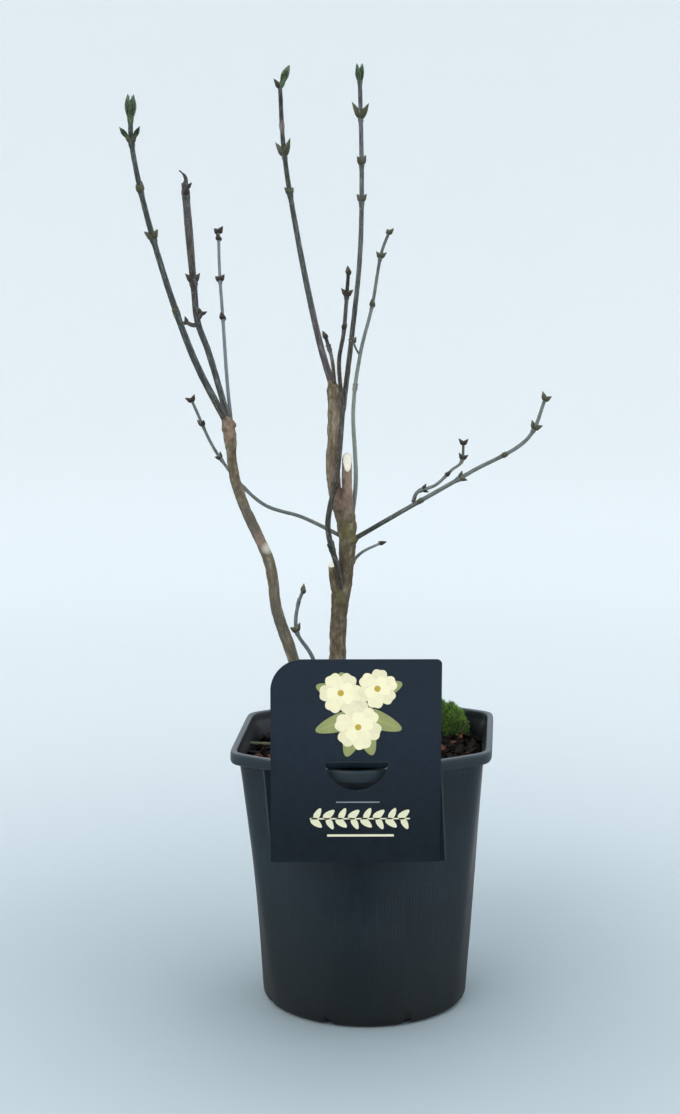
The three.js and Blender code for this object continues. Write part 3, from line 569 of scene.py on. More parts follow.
def old_lilac_bark(settings):
    """Lilac bark, grown: grey-brown cork that cracks in short runs along the stem, browner in the
    cracks, with pale flecks. Fresh pruning cuts show cream wood, and knots are olive or pink."""
    finish, tree, shader = new_finish("old_lilac_bark", Roughness=0.86, IOR=1.45)
    grain = add_node(tree, "Attribute", out="Vector", attribute_name="grain")
    patch = add_node(tree, "Attribute", attribute_name="patch")
    olive, pink, umber = add_node(tree, "SeparateColor", [patch]).node.outputs
    crack = add_node(tree, "Attribute", out="Fac", attribute_name="crack")
    cut = add_node(tree, "Attribute", out="Fac", attribute_name="cut")
    # Clouds of lighter and darker cork, 4 mm round the stem and 14 mm along it.
    cloud_way = add_node(tree, "Mapping", {"Vector": grain, "Scale": (0.25, 0.25, 0.07)})
    cloud = add_node(tree, "TexNoise", {"Vector": cloud_way, "Scale": 1.0, "Detail": 4.0, "Roughness": 0.62})
    cork = add_node(tree, "ValToRGB", [cloud], stops=[
        (0.28, linear("#574c3a")), (0.72, linear("#a39680")), (0.5, settings.old_bark)])
    # Flecks 0.7 mm wide and 3 mm long.
    fleck_way = add_node(tree, "Mapping", {"Vector": grain, "Scale": (1.5, 1.5, 0.35)})
    fleck = add_node(tree, "TexNoise", {"Vector": fleck_way, "Scale": 1.0, "Detail": 3.0, "Roughness": 0.7})
    pale = add_node(tree, "MapRange", (fleck, 0.56, 0.72, 0.0, 0.5))
    dark = add_node(tree, "MapRange", (fleck, 0.44, 0.3, 0.0, 0.55))
    # End grain of the cuts: cream, with rings 0.4 mm apart.
    ring = add_node(tree, "TexNoise", {"Vector": fleck_way, "Scale": 1.6, "Detail": 2.0})
    ringed = add_node(tree, "MapRange", (ring, 0.35, 0.7))
    wood = add_node(tree, inputs={0: ringed, 6: settings.cut_wood, 7: linear("#e0d6ba")}, **COLOUR_MIX)
    for share, over in ((pale, linear("#b3a78f")), (dark, linear("#40372b")), (crack, linear("#332a20")),
                        (patch.node.outputs["Alpha"], linear("#54544d")), (umber, linear("#443a25")),
                        (olive, linear("#6b6a3a")), (pink, linear("#97796c")), (cut, wood)):
        cork = add_node(tree, inputs={0: share, 6: cork, 7: over}, **COLOUR_MIX)
    bump = add_node(tree, "Bump", {"Height": fleck, "Strength": 0.5, "Distance": 0.0006})
    fill(shader, {"Base Color": cork, "Normal": bump})
    return finish


def young_lilac_bark(name, roughness):
    """Young lilac bark, grown: thin, smooth and a little shiny, in a tone of its own for each spray,
    silvered in fine strips where the outer skin has dried."""
    finish, tree, shader = new_finish(name, Roughness=roughness, IOR=1.46)
    colour = add_node(tree, "Attribute", attribute_name="tone")
    grain = add_node(tree, "Attribute", out="Vector", attribute_name="grain")
    # Strips 0.9 mm wide and 8 mm long.
    strip_way = add_node(tree, "Mapping", {"Vector": grain, "Scale": (1.1, 1.1, 0.12)})
    strip = add_node(tree, "TexNoise", {"Vector": strip_way, "Scale": 1.0, "Detail": 3.0, "Roughness": 0.65})
    for *where, over in ((strip, 0.5, 0.74, 0.0, 0.5, linear("#8f938e")),
                         (strip, 0.47, 0.25, 0.0, 0.8, linear("#1e1b1a"))):
        share = add_node(tree, "MapRange", where)
        colour = add_node(tree, inputs={0: share, 6: colour, 7: over}, **COLOUR_MIX)
    bump = add_node(tree, "Bump", {"Height": strip, "Strength": 0.35, "Distance": 0.0003})
    fill(shader, {"Base Color": colour, "Normal": bump})
    return finish


def grown_skin(name, low, high, roughness, grain_mm):
    """Skin of buds, leaves and pores, grown: two close tones in fine clouds, darker at the base."""
    finish, tree, shader = new_finish(name, Roughness=roughness, IOR=1.42)
    place = add_node(tree, "TexCoord", out="Object")
    tip = add_node(tree, "Attribute", out="Fac", attribute_name="tip")
    cloud = add_node(tree, "TexNoise", {"Vector": place, "Scale": 1 / (grain_mm * MM), "Detail": 2.0})
    share = add_node(tree, "Math", (add_node(tree, "MapRange", (cloud, 0.3, 0.7, -0.3, 0.3)), tip))
    colour = add_node(tree, inputs={0: share, 6: linear(low), 7: linear(high)}, **COLOUR_MIX)
    fill(shader, {"Base Color": colour})
    return finish


# ------------------------------------------------------------------ the pot's section


def six_sided(angle):
    """The reach of a six-sided section, with its front and back corners blunted."""
    total = np.abs(np.sin(angle) / POT["blunted"]) ** POT["sharpness"]
    for axis in range(3):
        flat = 1 if axis == 0 else POT["bulge"]
        total = total + np.abs(np.cos(angle - axis * math.pi / 3) / flat) ** POT["sharpness"]
    return total ** (-1 / POT["sharpness"])


def wall_apothem(height):
    return POT["foot_radius"] + (POT["neck_apothem"] - POT["foot_radius"]) * height / NECK


def on_section(radius, angle, height):
    """Points of the pot's section, round at the foot and six-sided at the neck, for arrays of one shape."""
    share = np.clip(height / NECK, 0, 1) ** 0.8
    reach = radius * (1 + share * (six_sided(angle) - 1))
    back = reach * np.sin(angle)
    return np.stack([reach * np.cos(angle) + POT["skew"] * share * back, back, height], axis=-1)


def lathe(rows, sides, lift):
    """A closed shell from (apothem, height) rows that begin and end on the axis, as its points, faces
    and angles. lift gives what is added to the radius and height of each point."""
    radius, height = np.array(rows, float).T
    angle = np.linspace(0, TURN, sides, endpoint=False)
    wide, turn, high = np.broadcast_arrays(radius[1:-1, None], angle[None, :], height[1:-1, None])
    out, up = lift(wide, turn, high)
    points = on_section(wide + out, turn, high)
    points[..., 2] += up
    ends = np.array([[0, 0, height[0]], [0, 0, height[-1]]])
    return np.vstack([points.reshape(-1, 3), ends]), shell_faces(len(rows) - 2, sides), angle


# ------------------------------------------------------------------ tubes, buds and leaves


def add_tube(heap, limb, start, end, step, sides, girth, **traits):
    """A closed tube along a stretch of a limb. Its grain is (round, round, along) in millimetres."""
    places = np.linspace(start, end, max(3, int(round((end - start) / step)) + 1))
    angle = np.linspace(0, TURN, sides, endpoint=False)
    at, _, away, across = limb.frames(places)
    radius = girth(places[:, None], angle[None, :])
    cos, sin = np.cos(angle)[None, :, None], np.sin(angle)[None, :, None]
    points = at[:, None] + (across[:, None] * cos + away[:, None] * sin) * radius[..., None]
    grain = np.stack([radius * cos[..., 0], radius * sin[..., 0], places[:, None] + 0 * radius], axis=-1)
    end_grain = np.array([[0, 0, places[0]], [0, 0, places[-1]]])
    per_point = {name: np.vstack([np.repeat(rows(places), sides, axis=0), rows(places[[0, -1]])])
                 for name, rows in traits.items()}
    heap.add(np.vstack([points.reshape(-1, 3), at[[0, -1]]]), shell_faces(len(places), sides, flip=True),
             grain=np.vstack([grain.reshape(-1, 3), end_grain]), **per_point)


def turned_to(points, direction, roll):
    """Points built along +Z, turned to point in a direction."""
    quaternion = Vector((0, 0, 1)).rotation_difference(Vector(direction))
    matrix = np.array(quaternion.to_matrix() @ Euler((0, 0, roll)).to_matrix())
    return points @ matrix.T


def bud_profile(share):
    """A bud's radius, as a share of its widest, from base to tip."""
    share = np.clip(share, 0, 1)
    return np.sin(math.pi * share ** 0.72) ** 0.85 * (1 - 0.35 * share) + 0.42 * (1 - share) ** 3


def closed_bud(heap, at, direction, length, width, roll, dryness=0.0):
    """A winter bud: a core, and scales that overlap in opposite pairs like roof tiles."""
    share = np.linspace(0, 1, 10)[1:-1, None]
    angle = np.linspace(0, TURN, 10, endpoint=False)[None, :]
    radius = bud_profile(share) * width * 0.96
    core = np.stack([radius * np.cos(angle), radius * np.sin(angle), share * length + 0 * angle], axis=-1)
    core = np.vstack([core.reshape(-1, 3), [[0, 0, 0], [0, 0, length]]])
    heap.add(at + turned_to(core, direction, roll), shell_faces(8, 10),
             tip=np.concatenate([np.repeat(share[:, 0], 10), [0, 1]]))
    across, up = np.meshgrid(np.linspace(-1, 1, 7), np.linspace(0, 1, 7))
    for pair, (start, reach, half, stand) in enumerate(SCALE_PAIRS):
        for side in (0, math.pi):
            share = start + reach * up
            wide = math.radians(half) * (1 - up ** 2.6) ** 0.7 + 0.02
            turn = side + pair * math.pi / 2 + across * wide
            lift = stand * (0.35 + 0.65 * up) * (1 - 0.45 * across ** 2) + 0.04
            radius = (bud_profile(share) + lift) * width
            points = np.stack([radius * np.cos(turn), radius * np.sin(turn), share * length * 0.99], axis=-1)
            heap.add(at + turned_to(points.reshape(-1, 3), direction, roll), [grid_faces(7, 7, False)],
                     tip=(0.15 + 0.75 * share * (1 - 0.5 * np.abs(across)) - dryness).ravel())


def add_bud_pair(heap, limb, place, kind, bearing, dice, long=1, wide=1):
    """Two closed buds on opposite sides of a limb, so many times as long and wide as their kind. Gives
    where each stands and which way it points."""
    pair = [limb.leaning(place, kind["lean"], bearing + side) for side in (0, 180)]
    for at, out in pair:
        closed_bud(heap, at, out, kind["length"] * long, kind["width"] * wide, dice.uniform(0, TURN))
    return pair


def folded_leaf(heap, at, direction, length, width, roll, bend, dimness=0.0):
    """A young leaf: narrow at its foot, still folded along its midrib, and bending outward."""
    across, up = np.meshgrid(np.linspace(-1, 1, 7), np.linspace(0, 1, 12))
    half = width * (np.sin(math.pi * np.clip(up, 0.0, 0.985) ** 1.25) ** 0.9 + 0.16 * (1 - up))
    x = half * across * 0.85
    y = 0.7 * half * np.abs(across) ** 1.3 + width * 0.12 - bend * length * up ** 2
    points = np.stack([x, -y, up * length * (1 - 0.25 * abs(bend) * up)], axis=-1).reshape(-1, 3)
    heap.add(at + turned_to(points, direction, roll), [grid_faces(12, 7, False)],
             tip=(0.25 + 0.6 * up - 0.3 * (1 - np.abs(across)) - dimness).ravel())


def open_bud(scales, leaves, at, direction, length, width, roll, dice):
    """An opening bud: small scales left at its foot, and a tuft of folded leaves that widens upward."""
    closed_bud(scales, at, direction, length * OPEN_BUD["core"][0], width * OPEN_BUD["core"][1], roll)
    start = at + direction * length * 0.08
    for i, (reach, bend) in enumerate(OPEN_BUD["leaves"]):
        turn = roll + i * math.pi / 2 + (math.pi if i % 2 else 0) + dice.uniform(-0.3, 0.3)
        folded_leaf(leaves, start, direction, length * reach, width * 0.74, turn, bend, 0.3 if i % 2 else 0.0)


def knobs_of(part, limb, place):
    """How much the part's knobs swell it at a place."""
    return sum(swelling * np.exp(-((place - at * limb.length) / half) ** 2)
               for at, swelling, half in part.get("knobs", []))


def shoot_girth(shoot, limb, seed, collar):
    """The shoot's radius: an even taper, a collar at its foot, and a swollen ridge at each bud pair
    with a leaf scar under either bud."""
    low, high = shoot["radius"]

    def girth(place, angle):
        base = low + (high - low) * np.clip(place / limb.length, 0, 1)
        ripple = smooth_noise(np.stack([np.cos(angle) * 1.4 + 0 * place, np.sin(angle) * 1.4 + 0 * place,
                                        place / 5 + 0 * angle], axis=-1), seed)
        total = base * (1 + 0.045 * ripple)
        total = total + collar * base * np.exp(-(np.clip(place - 3, 0, None) / 4.5) ** 1.5)
        for index, below in enumerate(shoot["nodes"]):
            facing = np.cos(angle - math.radians(shoot["bearings"][1] + index * 90))
            gap = place - (limb.length - below)
            total = total + 0.34 * base * np.exp(-((gap + 0.5) / 2.3) ** 2) * (0.4 + 0.6 * facing ** 2)
            total = total + 0.26 * np.exp(-((gap + 2.0) / 0.9) ** 2) * np.abs(facing) ** 5
        return total + knobs_of(shoot, limb, place)

    return girth


def old_girth(part, limb):
    """The old wood's radius: an even taper, a flare at its foot, its knobs and a rounded end."""
    low, high = part["radius"]
    rounded = part.get("rounded", 0)

    def girth(place, angle):
        total = low + (high - low) * np.clip(place / limb.length, 0, 1) + 0 * angle
        total = total + part["flare"] * np.exp(-np.clip(place - 3, 0, None) / FLARE_REACH)
        total = total + knobs_of(part, limb, place)
        if rounded:
            short = np.clip((place - (limb.length - rounded)) / rounded, 0, 1)
            total = total * np.sqrt(np.clip(1 - short ** 2, 0.02, 1))
        return total

    return girth


def cut_plane(part):
    """A point of the part's pruning cut and the way the cut faces."""
    at, facing = part["cut"]
    return np.array(at, float), unit(np.array(facing))


def collar_girth(low):
    """The radius of the swollen foot of a shoot on the old wood, rounded where it begins inside it."""

    def girth(place, angle):
        rounded = np.sqrt(np.clip(1 - (1 - np.clip(place / 4, 0, 1)) ** 2, 0.06, 1))
        swelling = 1.5 * np.exp(-(np.clip(place - 2, 0, None) / (low * 2.2)) ** 1.6)
        return low * (swelling + 0.8) * rounded + 0 * angle

    return girth


def toned(shoot, length):
    """The shoot's bark tones, laid evenly from foot to tip."""
    names = [part.partition("*") for part in shoot["bark"].split()]
    colours = np.array([linear(BARK_TONES[name]) for name, _, times in names for _ in range(int(times or 1))])
    stops = np.linspace(0, length, len(colours))
    return lambda places: np.stack([np.interp(places, stops, colours[:, k]) for k in range(4)], axis=-1)


def spurs_of(shoot, limb):
    """The short side twigs of a shoot, as (limb, bearing)."""
    made = []
    for below, length, bearing, lean in shoot.get("spurs", []):
        root, outward = limb.leaning(limb.length - below, lean, bearing)
        upward = unit(outward + (np.array([0, 0, 1.0]) - outward) * SPUR["upturn"])
        middle = root + outward * SPUR["middle"] * length
        end = middle + upward * (1 - SPUR["middle"]) * length
        made.append((Limb([root, middle, end]), bearing))
    return made


# ------------------------------------------------------------------ what a user may change


class LilacPotSettings(bpy.types.PropertyGroup):
    rib_count: IntProperty(name="Ribs", description="Fine ribs pressed round the wall", default=224, min=24)
    rib_depth: FloatProperty(name="Rib Depth", description="Height of a rib over its groove",
                             default=0.06 * MM, precision=5, unit="LENGTH", subtype="DISTANCE")
    wall_colour: FloatVectorProperty(name="Wall", description="Polypropylene of the wall", size=4,
                                     subtype="COLOR", default=linear("#11252f"), min=0, max=1)
    rim_colour: FloatVectorProperty(name="Rim", description="Face of the rolled rim", size=4,
                                    subtype="COLOR", default=linear("#25333b"), min=0, max=1)
    # The rim's top colour is a painted highlight where light falls on it.
    rim_top_colour: FloatVectorProperty(name="Rim Top", description="Rubbed top edge of the rim", size=4,
                                        subtype="COLOR", default=linear("#34424a"), min=0, max=1)
    soil_colour: FloatVectorProperty(name="Dried Soil", description="Splashes near the foot", size=4,
                                     subtype="COLOR", default=linear("#252a1e"), min=0, max=1)


class LilacSoilSettings(bpy.types.PropertyGroup):
    chips: IntProperty(name="Bark Chips", description="Flakes of pine bark on the compost", default=900)
    crumbs: IntProperty(name="Crumbs", description="Small crumbs among the flakes", default=3200)
    moss_shoots: IntProperty(name="Moss Shoots", description="Single shoots on the moss", default=5200)


class LilacCardSettings(bpy.types.PropertyGroup):
    sheet_colour: FloatVectorProperty(name="Sheet", description="Printed ground of the card", size=4,
                                      subtype="COLOR", default=linear("#242f3b"), min=0, max=1)
    print_lift: FloatProperty(name="Print Lift", description="How far the print stands off the sheet",
                              default=0.08 * MM, precision=5, unit="LENGTH", subtype="DISTANCE")


class LilacWoodSettings(bpy.types.PropertyGroup):
    voxel: FloatProperty(name="Voxel", description="Grain of the mesh of the old wood",
                         default=0.6 * MM, precision=5, unit="LENGTH", subtype="DISTANCE")
    relief: FloatProperty(name="Bark Relief", description="Depth of the cracks in old bark",
                          default=0.55 * MM, precision=5, unit="LENGTH", subtype="DISTANCE")
    old_bark: FloatVectorProperty(name="Old Bark", description="Grey-brown cork of the stems", size=4,
                                  subtype="COLOR", default=linear("#7a6c57"), min=0, max=1)
    cut_wood: FloatVectorProperty(name="Cut Wood", description="Cream wood of a fresh cut", size=4,
                                  subtype="COLOR", default=linear("#f6f1e2"), min=0, max=1)
    sides: IntProperty(name="Twig Sides", description="Faces round a twig", default=18, min=6)
    pores: IntProperty(name="Pores", description="Raised pores on every 100 mm of a shoot", default=70)


class LilacStageSettings(bpy.types.PropertyGroup):
    # The floor's colour near the pot is painted shade.
    shaded_floor_colour: FloatVectorProperty(name="Floor", description="Pale floor under the pot", size=4,
                                      subtype="COLOR", default=linear("#a3b0b6"), min=0, max=1)
    wall_colour: FloatVectorProperty(name="Wall", description="Pale wall that the floor sweeps up to", size=4,
                                     subtype="COLOR", default=linear("#ebeff1"), min=0, max=1)
    wall_glow: FloatProperty(name="Wall Glow", description="Light of the sweep's own", default=0.16, min=0)
    soft_light: FloatProperty(name="Soft Light", description="Strength of the light from all round",
                              default=0.95, min=0)
    key_light: FloatProperty(name="Key Light", description="Power of the large soft box",
                             default=38.0, min=0, unit="POWER")


# ------------------------------------------------------------------ one operator for each piece


class LILAC_OT_pot(bpy.types.Operator):
    """Build the ribbed six-sided pot with its rolled rim and drain slots"""
    bl_idname = "lilac.pot"
    bl_label = "Nursery Pot"

    def execute(self, context):
        settings = context.scene.lilac_pot
        rows, zones = self.section()

        def lift(wide, angle, high):
            ribbed = (high > 5) & (high < NECK - 0.4) & (wide > wall_apothem(high) - 0.5)
            rib = 0.5 * settings.rib_depth / MM * np.cos(angle * settings.rib_count)
            # Shallow dents, 0.45 mm deep and some 40 mm across, that leave the foot and the rim true.
            dents = smooth_noise(np.stack([np.cos(angle) * 2.6, np.sin(angle) * 2.6, high / 45], axis=-1), 3)
            dented = np.clip(high / 60, 0, 1) * (high < NECK)
            return ribbed * rib + 0.45 * dents * dented, 0 * wide

        points, faces, angle = lathe(rows, settings.rib_count * 4, lift)
        groove = np.clip(-np.cos(np.tile(angle, len(rows) - 2) * settings.rib_count), 0, 1) * 0.5 + 0.5
        heap = Heap()
        heap.add(points, faces, groove=np.append(groove, [0, 0]),
                 zone=np.vstack([np.repeat(zones[1:-1], len(angle), axis=0), zones[[0, -1]]]))
        cutter = bpy.data.objects.new("pot_slots", heap_mesh("pot_slots", self.drain_slots()))
        context.scene.collection.objects.link(cutter)
        shell = with_modifier(bpy.data.objects.new("nursery_pot", heap_mesh("pot_shell", heap)), "BOOLEAN",
                              operation="DIFFERENCE", object=cutter, solver="MANIFOLD")
        bpy.data.objects.remove(cutter)
        place_piece(shell, thermoformed_polypropylene(settings), ["pot"])
        return {"FINISHED"}

    @staticmethod
    def section():
        """The pot's (apothem, height) rows, from the axis under its floor to the axis over it, and each
        row's zone as (face of the rim, top of the rim, inside)."""
        rim, foot, floor, top = POT["rim_apothem"], POT["foot_radius"], POT["floor"], POT["height"]
        inside = rim - POT["rim_width"]
        wall = [(wall_apothem(z), z) for z in np.linspace(4, NECK - 0.6, 24)]
        lining = [(wall_apothem(z) - POT["wall"], z) for z in np.linspace(NECK - 2, 6, 8)]
        groups = (
            ((0, 0, 0), [(0, 0), (30, 0), (foot - 6, 0), (foot - 3, 0.4), (foot - 1.2, 1.6), *wall]),
            ((1, 0, 0), [(rim - 3.4, NECK + 0.1), (rim - 1.2, NECK + 0.5), (rim - 0.6, NECK + 1.2),
                         (rim - 0.1, NECK + 2.2), (rim, top - 5), (rim, top - 1.8), (rim - 0.25, top - 0.8)]),
            ((0, 1, 0), [(rim - 0.6, top - 0.2), (rim - 1.2, top), (inside + 0.9, top),
                         (inside + 0.3, top - 0.3)]),
            ((0, 0, 1), [(inside, top - 1.2), (inside - 0.4, top - 4), (inside - 1, NECK + 2), *lining,
                         (foot - 5, floor), (30, floor), (0, floor)]))
        return ([row for _, group in groups for row in group],
                np.array([zone for zone, group in groups for _ in group], float))

    @staticmethod
    def drain_slots():
        """Arched blocks round the foot, which cut the drain slots."""
        slots, half = Heap(), DRAIN["width"] / 2
        across = np.linspace(-1, 1, 9)
        arch = DRAIN["height"] * np.sqrt(np.clip(1 - across ** 4, 0.0, 1)) + 0.05
        outline = [(-half, -3), *zip(across * half, arch), (half, -3)]
        n = len(outline)
        for i in range(DRAIN["count"]):
            bearing = (i + 0.5) * TURN / DRAIN["count"]
            out = np.array([math.cos(bearing), math.sin(bearing)])
            side = np.array([-out[1], out[0]])
            ends = [np.append(out * (POT["foot_radius"] + reach) + side * a, h)
                    for reach in (-DRAIN["reach"], DRAIN["reach"]) for a, h in outline]
            slots.add(np.array(ends), [grid_faces(2, n, True, flip=True)])
            slots.faces.extend([[slots.count - 2 * n + k for k in range(n)],
                                [slots.count - 1 - k for k in range(n)]])
        return slots


class LILAC_OT_compost(bpy.types.Operator):
    """Fill the pot with bark compost and strew chips, crumbs and a twig on it"""
    bl_idname = "lilac.compost"
    bl_label = "Compost"

    def execute(self, context):
        self.lay_bed()
        self.strew(context.scene.lilac_soil)
        self.drop_twigs()
        return {"FINISHED"}

    @staticmethod
    def surface(x, y):
        """The height of the compost's lumpy top, which sinks a little toward the wall."""
        where = np.stack([x, y, 0 * x], axis=-1)
        edge = np.clip((np.hypot(x, y) - 62) / 22, 0, 1)
        return (COMPOST_LEVEL - 0.6 - 2.2 * edge ** 2 + 1.3 * smooth_noise(where / 17, 5)
                + 0.6 * smooth_noise(where / 5, 6))

    def lay_bed(self):
        """The body of the compost, from the pot's floor to its lumpy top."""
        brim = COMPOST_LEVEL - 4
        edge = wall_apothem(brim) - COMPOST_INSET
        rows = [(0, 3), (POT["foot_radius"] - 9, 3), *[(wall_apothem(z) - COMPOST_INSET, z) for z in (9, 92)],
                (edge, brim - 1), *[(r, COMPOST_LEVEL) for r in np.linspace(edge - 1, 1.5, 46)],
                (0, COMPOST_LEVEL)]

        def lift(wide, angle, high):
            flat = on_section(wide, angle, high)
            rise = self.surface(flat[..., 0], flat[..., 1]) - high
            return 0 * wide, np.where(high > COMPOST_LEVEL - 1, rise, 0)

        points, faces, _ = lathe(rows, 220, lift)
        points[-1, 2] = self.surface(np.zeros(1), np.zeros(1))[0]
        heap = Heap()
        heap.add(points, faces)
        join_piece("compost_bed", heap, damp_bark_fines(), ["compost"])

    def strew(self, settings):
        """Flakes that lie nearly flat and crumbs that don't, as six-sided slabs of uneven outline."""
        dice = np.random.default_rng(17)
        dark, light, fines = Heap(), Heap(), Heap()
        outline = ((1, 0), (0.45, 0.8), (-0.5, 0.9), (-1, 0.1), (-0.55, -0.8), (0.5, -0.85))
        corner = np.array([[x, y, z] for z in (-1, 1) for x, y in outline])
        sides = grid_faces(2, 6, True)
        reach = wall_apothem(COMPOST_LEVEL) - COMPOST_INSET - 5
        for number in range(settings.chips + settings.crumbs):
            kind = CRUMB if number >= settings.chips else FLAKE
            angle, share = dice.uniform(0, TURN), math.sqrt(dice.uniform(0, 1))
            spot = on_section(np.array(reach * share), np.array(angle), np.array(float(COMPOST_LEVEL)))
            size = dice.uniform(*kind["size"]) * np.array([1, dice.uniform(*kind["wide"]),
                                                           dice.uniform(*kind["thick"])])
            shape = corner * size * (1 + dice.uniform(-0.28, 0.28, corner.shape))
            tilt = kind["tilt"]
            turn = Euler((dice.normal(0, tilt), dice.normal(0, tilt), dice.uniform(0, TURN))).to_matrix()
            shape = shape @ np.array(turn).T
            floor = self.surface(spot[:1], spot[1:2])[0]
            shape += [spot[0], spot[1], floor - shape[:, 2].min() * kind["raised"] - 0.2]
            pile = fines if kind is CRUMB else (light if dice.uniform() < FRESH_SHARE else dark)
            pile.add(shape, [sides], tone=np.full(12, dice.uniform(0, 1)))
            base = pile.count - 12
            pile.faces.extend([[base + k for k in range(5, -1, -1)], [base + k for k in range(6, 12)]])
        for name, pile, bark, low, high in (
                ("bark_chips_dark", dark, "weathered_pine_bark", "#090706", "#1f1712"),
                ("bark_chips_light", light, "fresh_pine_bark", "#2c1b14", "#714834"),
                ("compost_crumbs", fines, "bark_crumb", "#080605", "#19130f")):
            join_piece(name, pile, broken_pine_bark(bark, low, high), smooth=False)

    @staticmethod
    def drop_twigs():
        """A dead stick that stands out of the compost, and a wood shaving on it."""
        stick = Limb([[52, 39, 186], [62, 40, 187], [70, 40, 188], [76, 41, 192], [80, 42, 197]])
        shaving = Limb([[-86, 9, 189], [-78, 11, 188], [-69, 12, 187.4]])
        for name, limb, sides, girth, wood, low, high in (
                ("dead_stick", stick, 10, lambda place, turn: (
                    0.7 - 0.25 * place / stick.length + 0.08 * np.cos(3 * turn + place)),
                 "weathered_twig_wood", "#3a332d", "#5c544b"),
                ("wood_shaving", shaving, 12, lambda place, turn: (
                    1.9 * np.abs(np.sin(turn)) ** 1.5 + 0.35 + 0.1 * np.cos(place)),
                 "weathered_shaving", "#3c4135", "#6b6e58")):
            heap = Heap()
            add_tube(heap, limb, 0, limb.length, 1, sides, girth)
            heap.traits["tone"] = [np.full(heap.count, 0.5)]
            join_piece(name, heap, broken_pine_bark(wood, low, high))


class LILAC_OT_moss(bpy.types.Operator):
    """Grow a cushion of moss on the compost"""
    bl_idname = "lilac.moss"
    bl_label = "Moss"

    def execute(self, context):
        dice = np.random.default_rng(23)
        heap = Heap()
        lumps = [(np.array([MOSS["x"] + x, MOSS["y"] + y, COMPOST_LEVEL - 1.0]),
                  np.array([MOSS["radius"], MOSS["radius"], MOSS["height"]]) * scale)
                 for x, y, scale in MOSS["lumps"]]
        for middle, size in lumps:
            self.add_core(heap, middle, size)
        weights = np.array([size[0] ** 2 for _, size in lumps])
        for _ in range(context.scene.lilac_soil.moss_shoots):
            middle, size = lumps[dice.choice(len(lumps), p=weights / weights.sum())]
            out = unit(dice.normal(size=3))
            out[2] = abs(out[2])
            root = middle + out * size * self.bumpy(out[None])[0]
            if any(np.sum(((root - m) / s) ** 2) < 0.8 for m, s in lumps):
                continue
            point = unit(out / size * size[0] + np.array([0, 0, 0.5]) + dice.normal(0, 0.3, 3))
            side = unit(np.cross(point, dice.normal(size=3)))
            other = np.cross(point, side)
            long, wide = dice.uniform(1.6, 3.4), dice.uniform(0.3, 0.55)
            blade = [root - 0.5 * point + wide * (side * math.cos(a) + other * math.sin(a))
                     for a in (0, TURN / 3, 2 * TURN / 3)] + [root + long * point]
            heap.add(np.array(blade), [[[0, 1, 3], [1, 2, 3], [2, 0, 3]]], tip=[0.1, 0.1, 0.1, 1.0])
        join_piece("moss_cushion", heap, living_moss(), ["moss"])
        return {"FINISHED"}

    @staticmethod
    def bumpy(ways):
        """How far the cushion reaches each way, as a share of its even dome."""
        return 1 + 0.1 * smooth_noise(ways * 3.2, 8)

    def add_core(self, heap, middle, size):
        """The dark dome that the shoots stand on."""
        rows, sides = 13, 28
        rise = np.linspace(0, 0.5 * math.pi, rows + 1)[:-1, None]
        angle = np.linspace(0, TURN, sides, endpoint=False)
        dome = np.stack([np.cos(rise) * np.cos(angle), np.cos(rise) * np.sin(angle),
                         np.sin(rise) + 0 * angle], axis=-1)
        dome = np.vstack([dome.reshape(-1, 3), [[0, 0, 0], [0, 0, 1]]])
        dome *= self.bumpy(dome)[:, None]
        heap.add(middle + dome * size, shell_faces(rows, sides), tip=0.05)


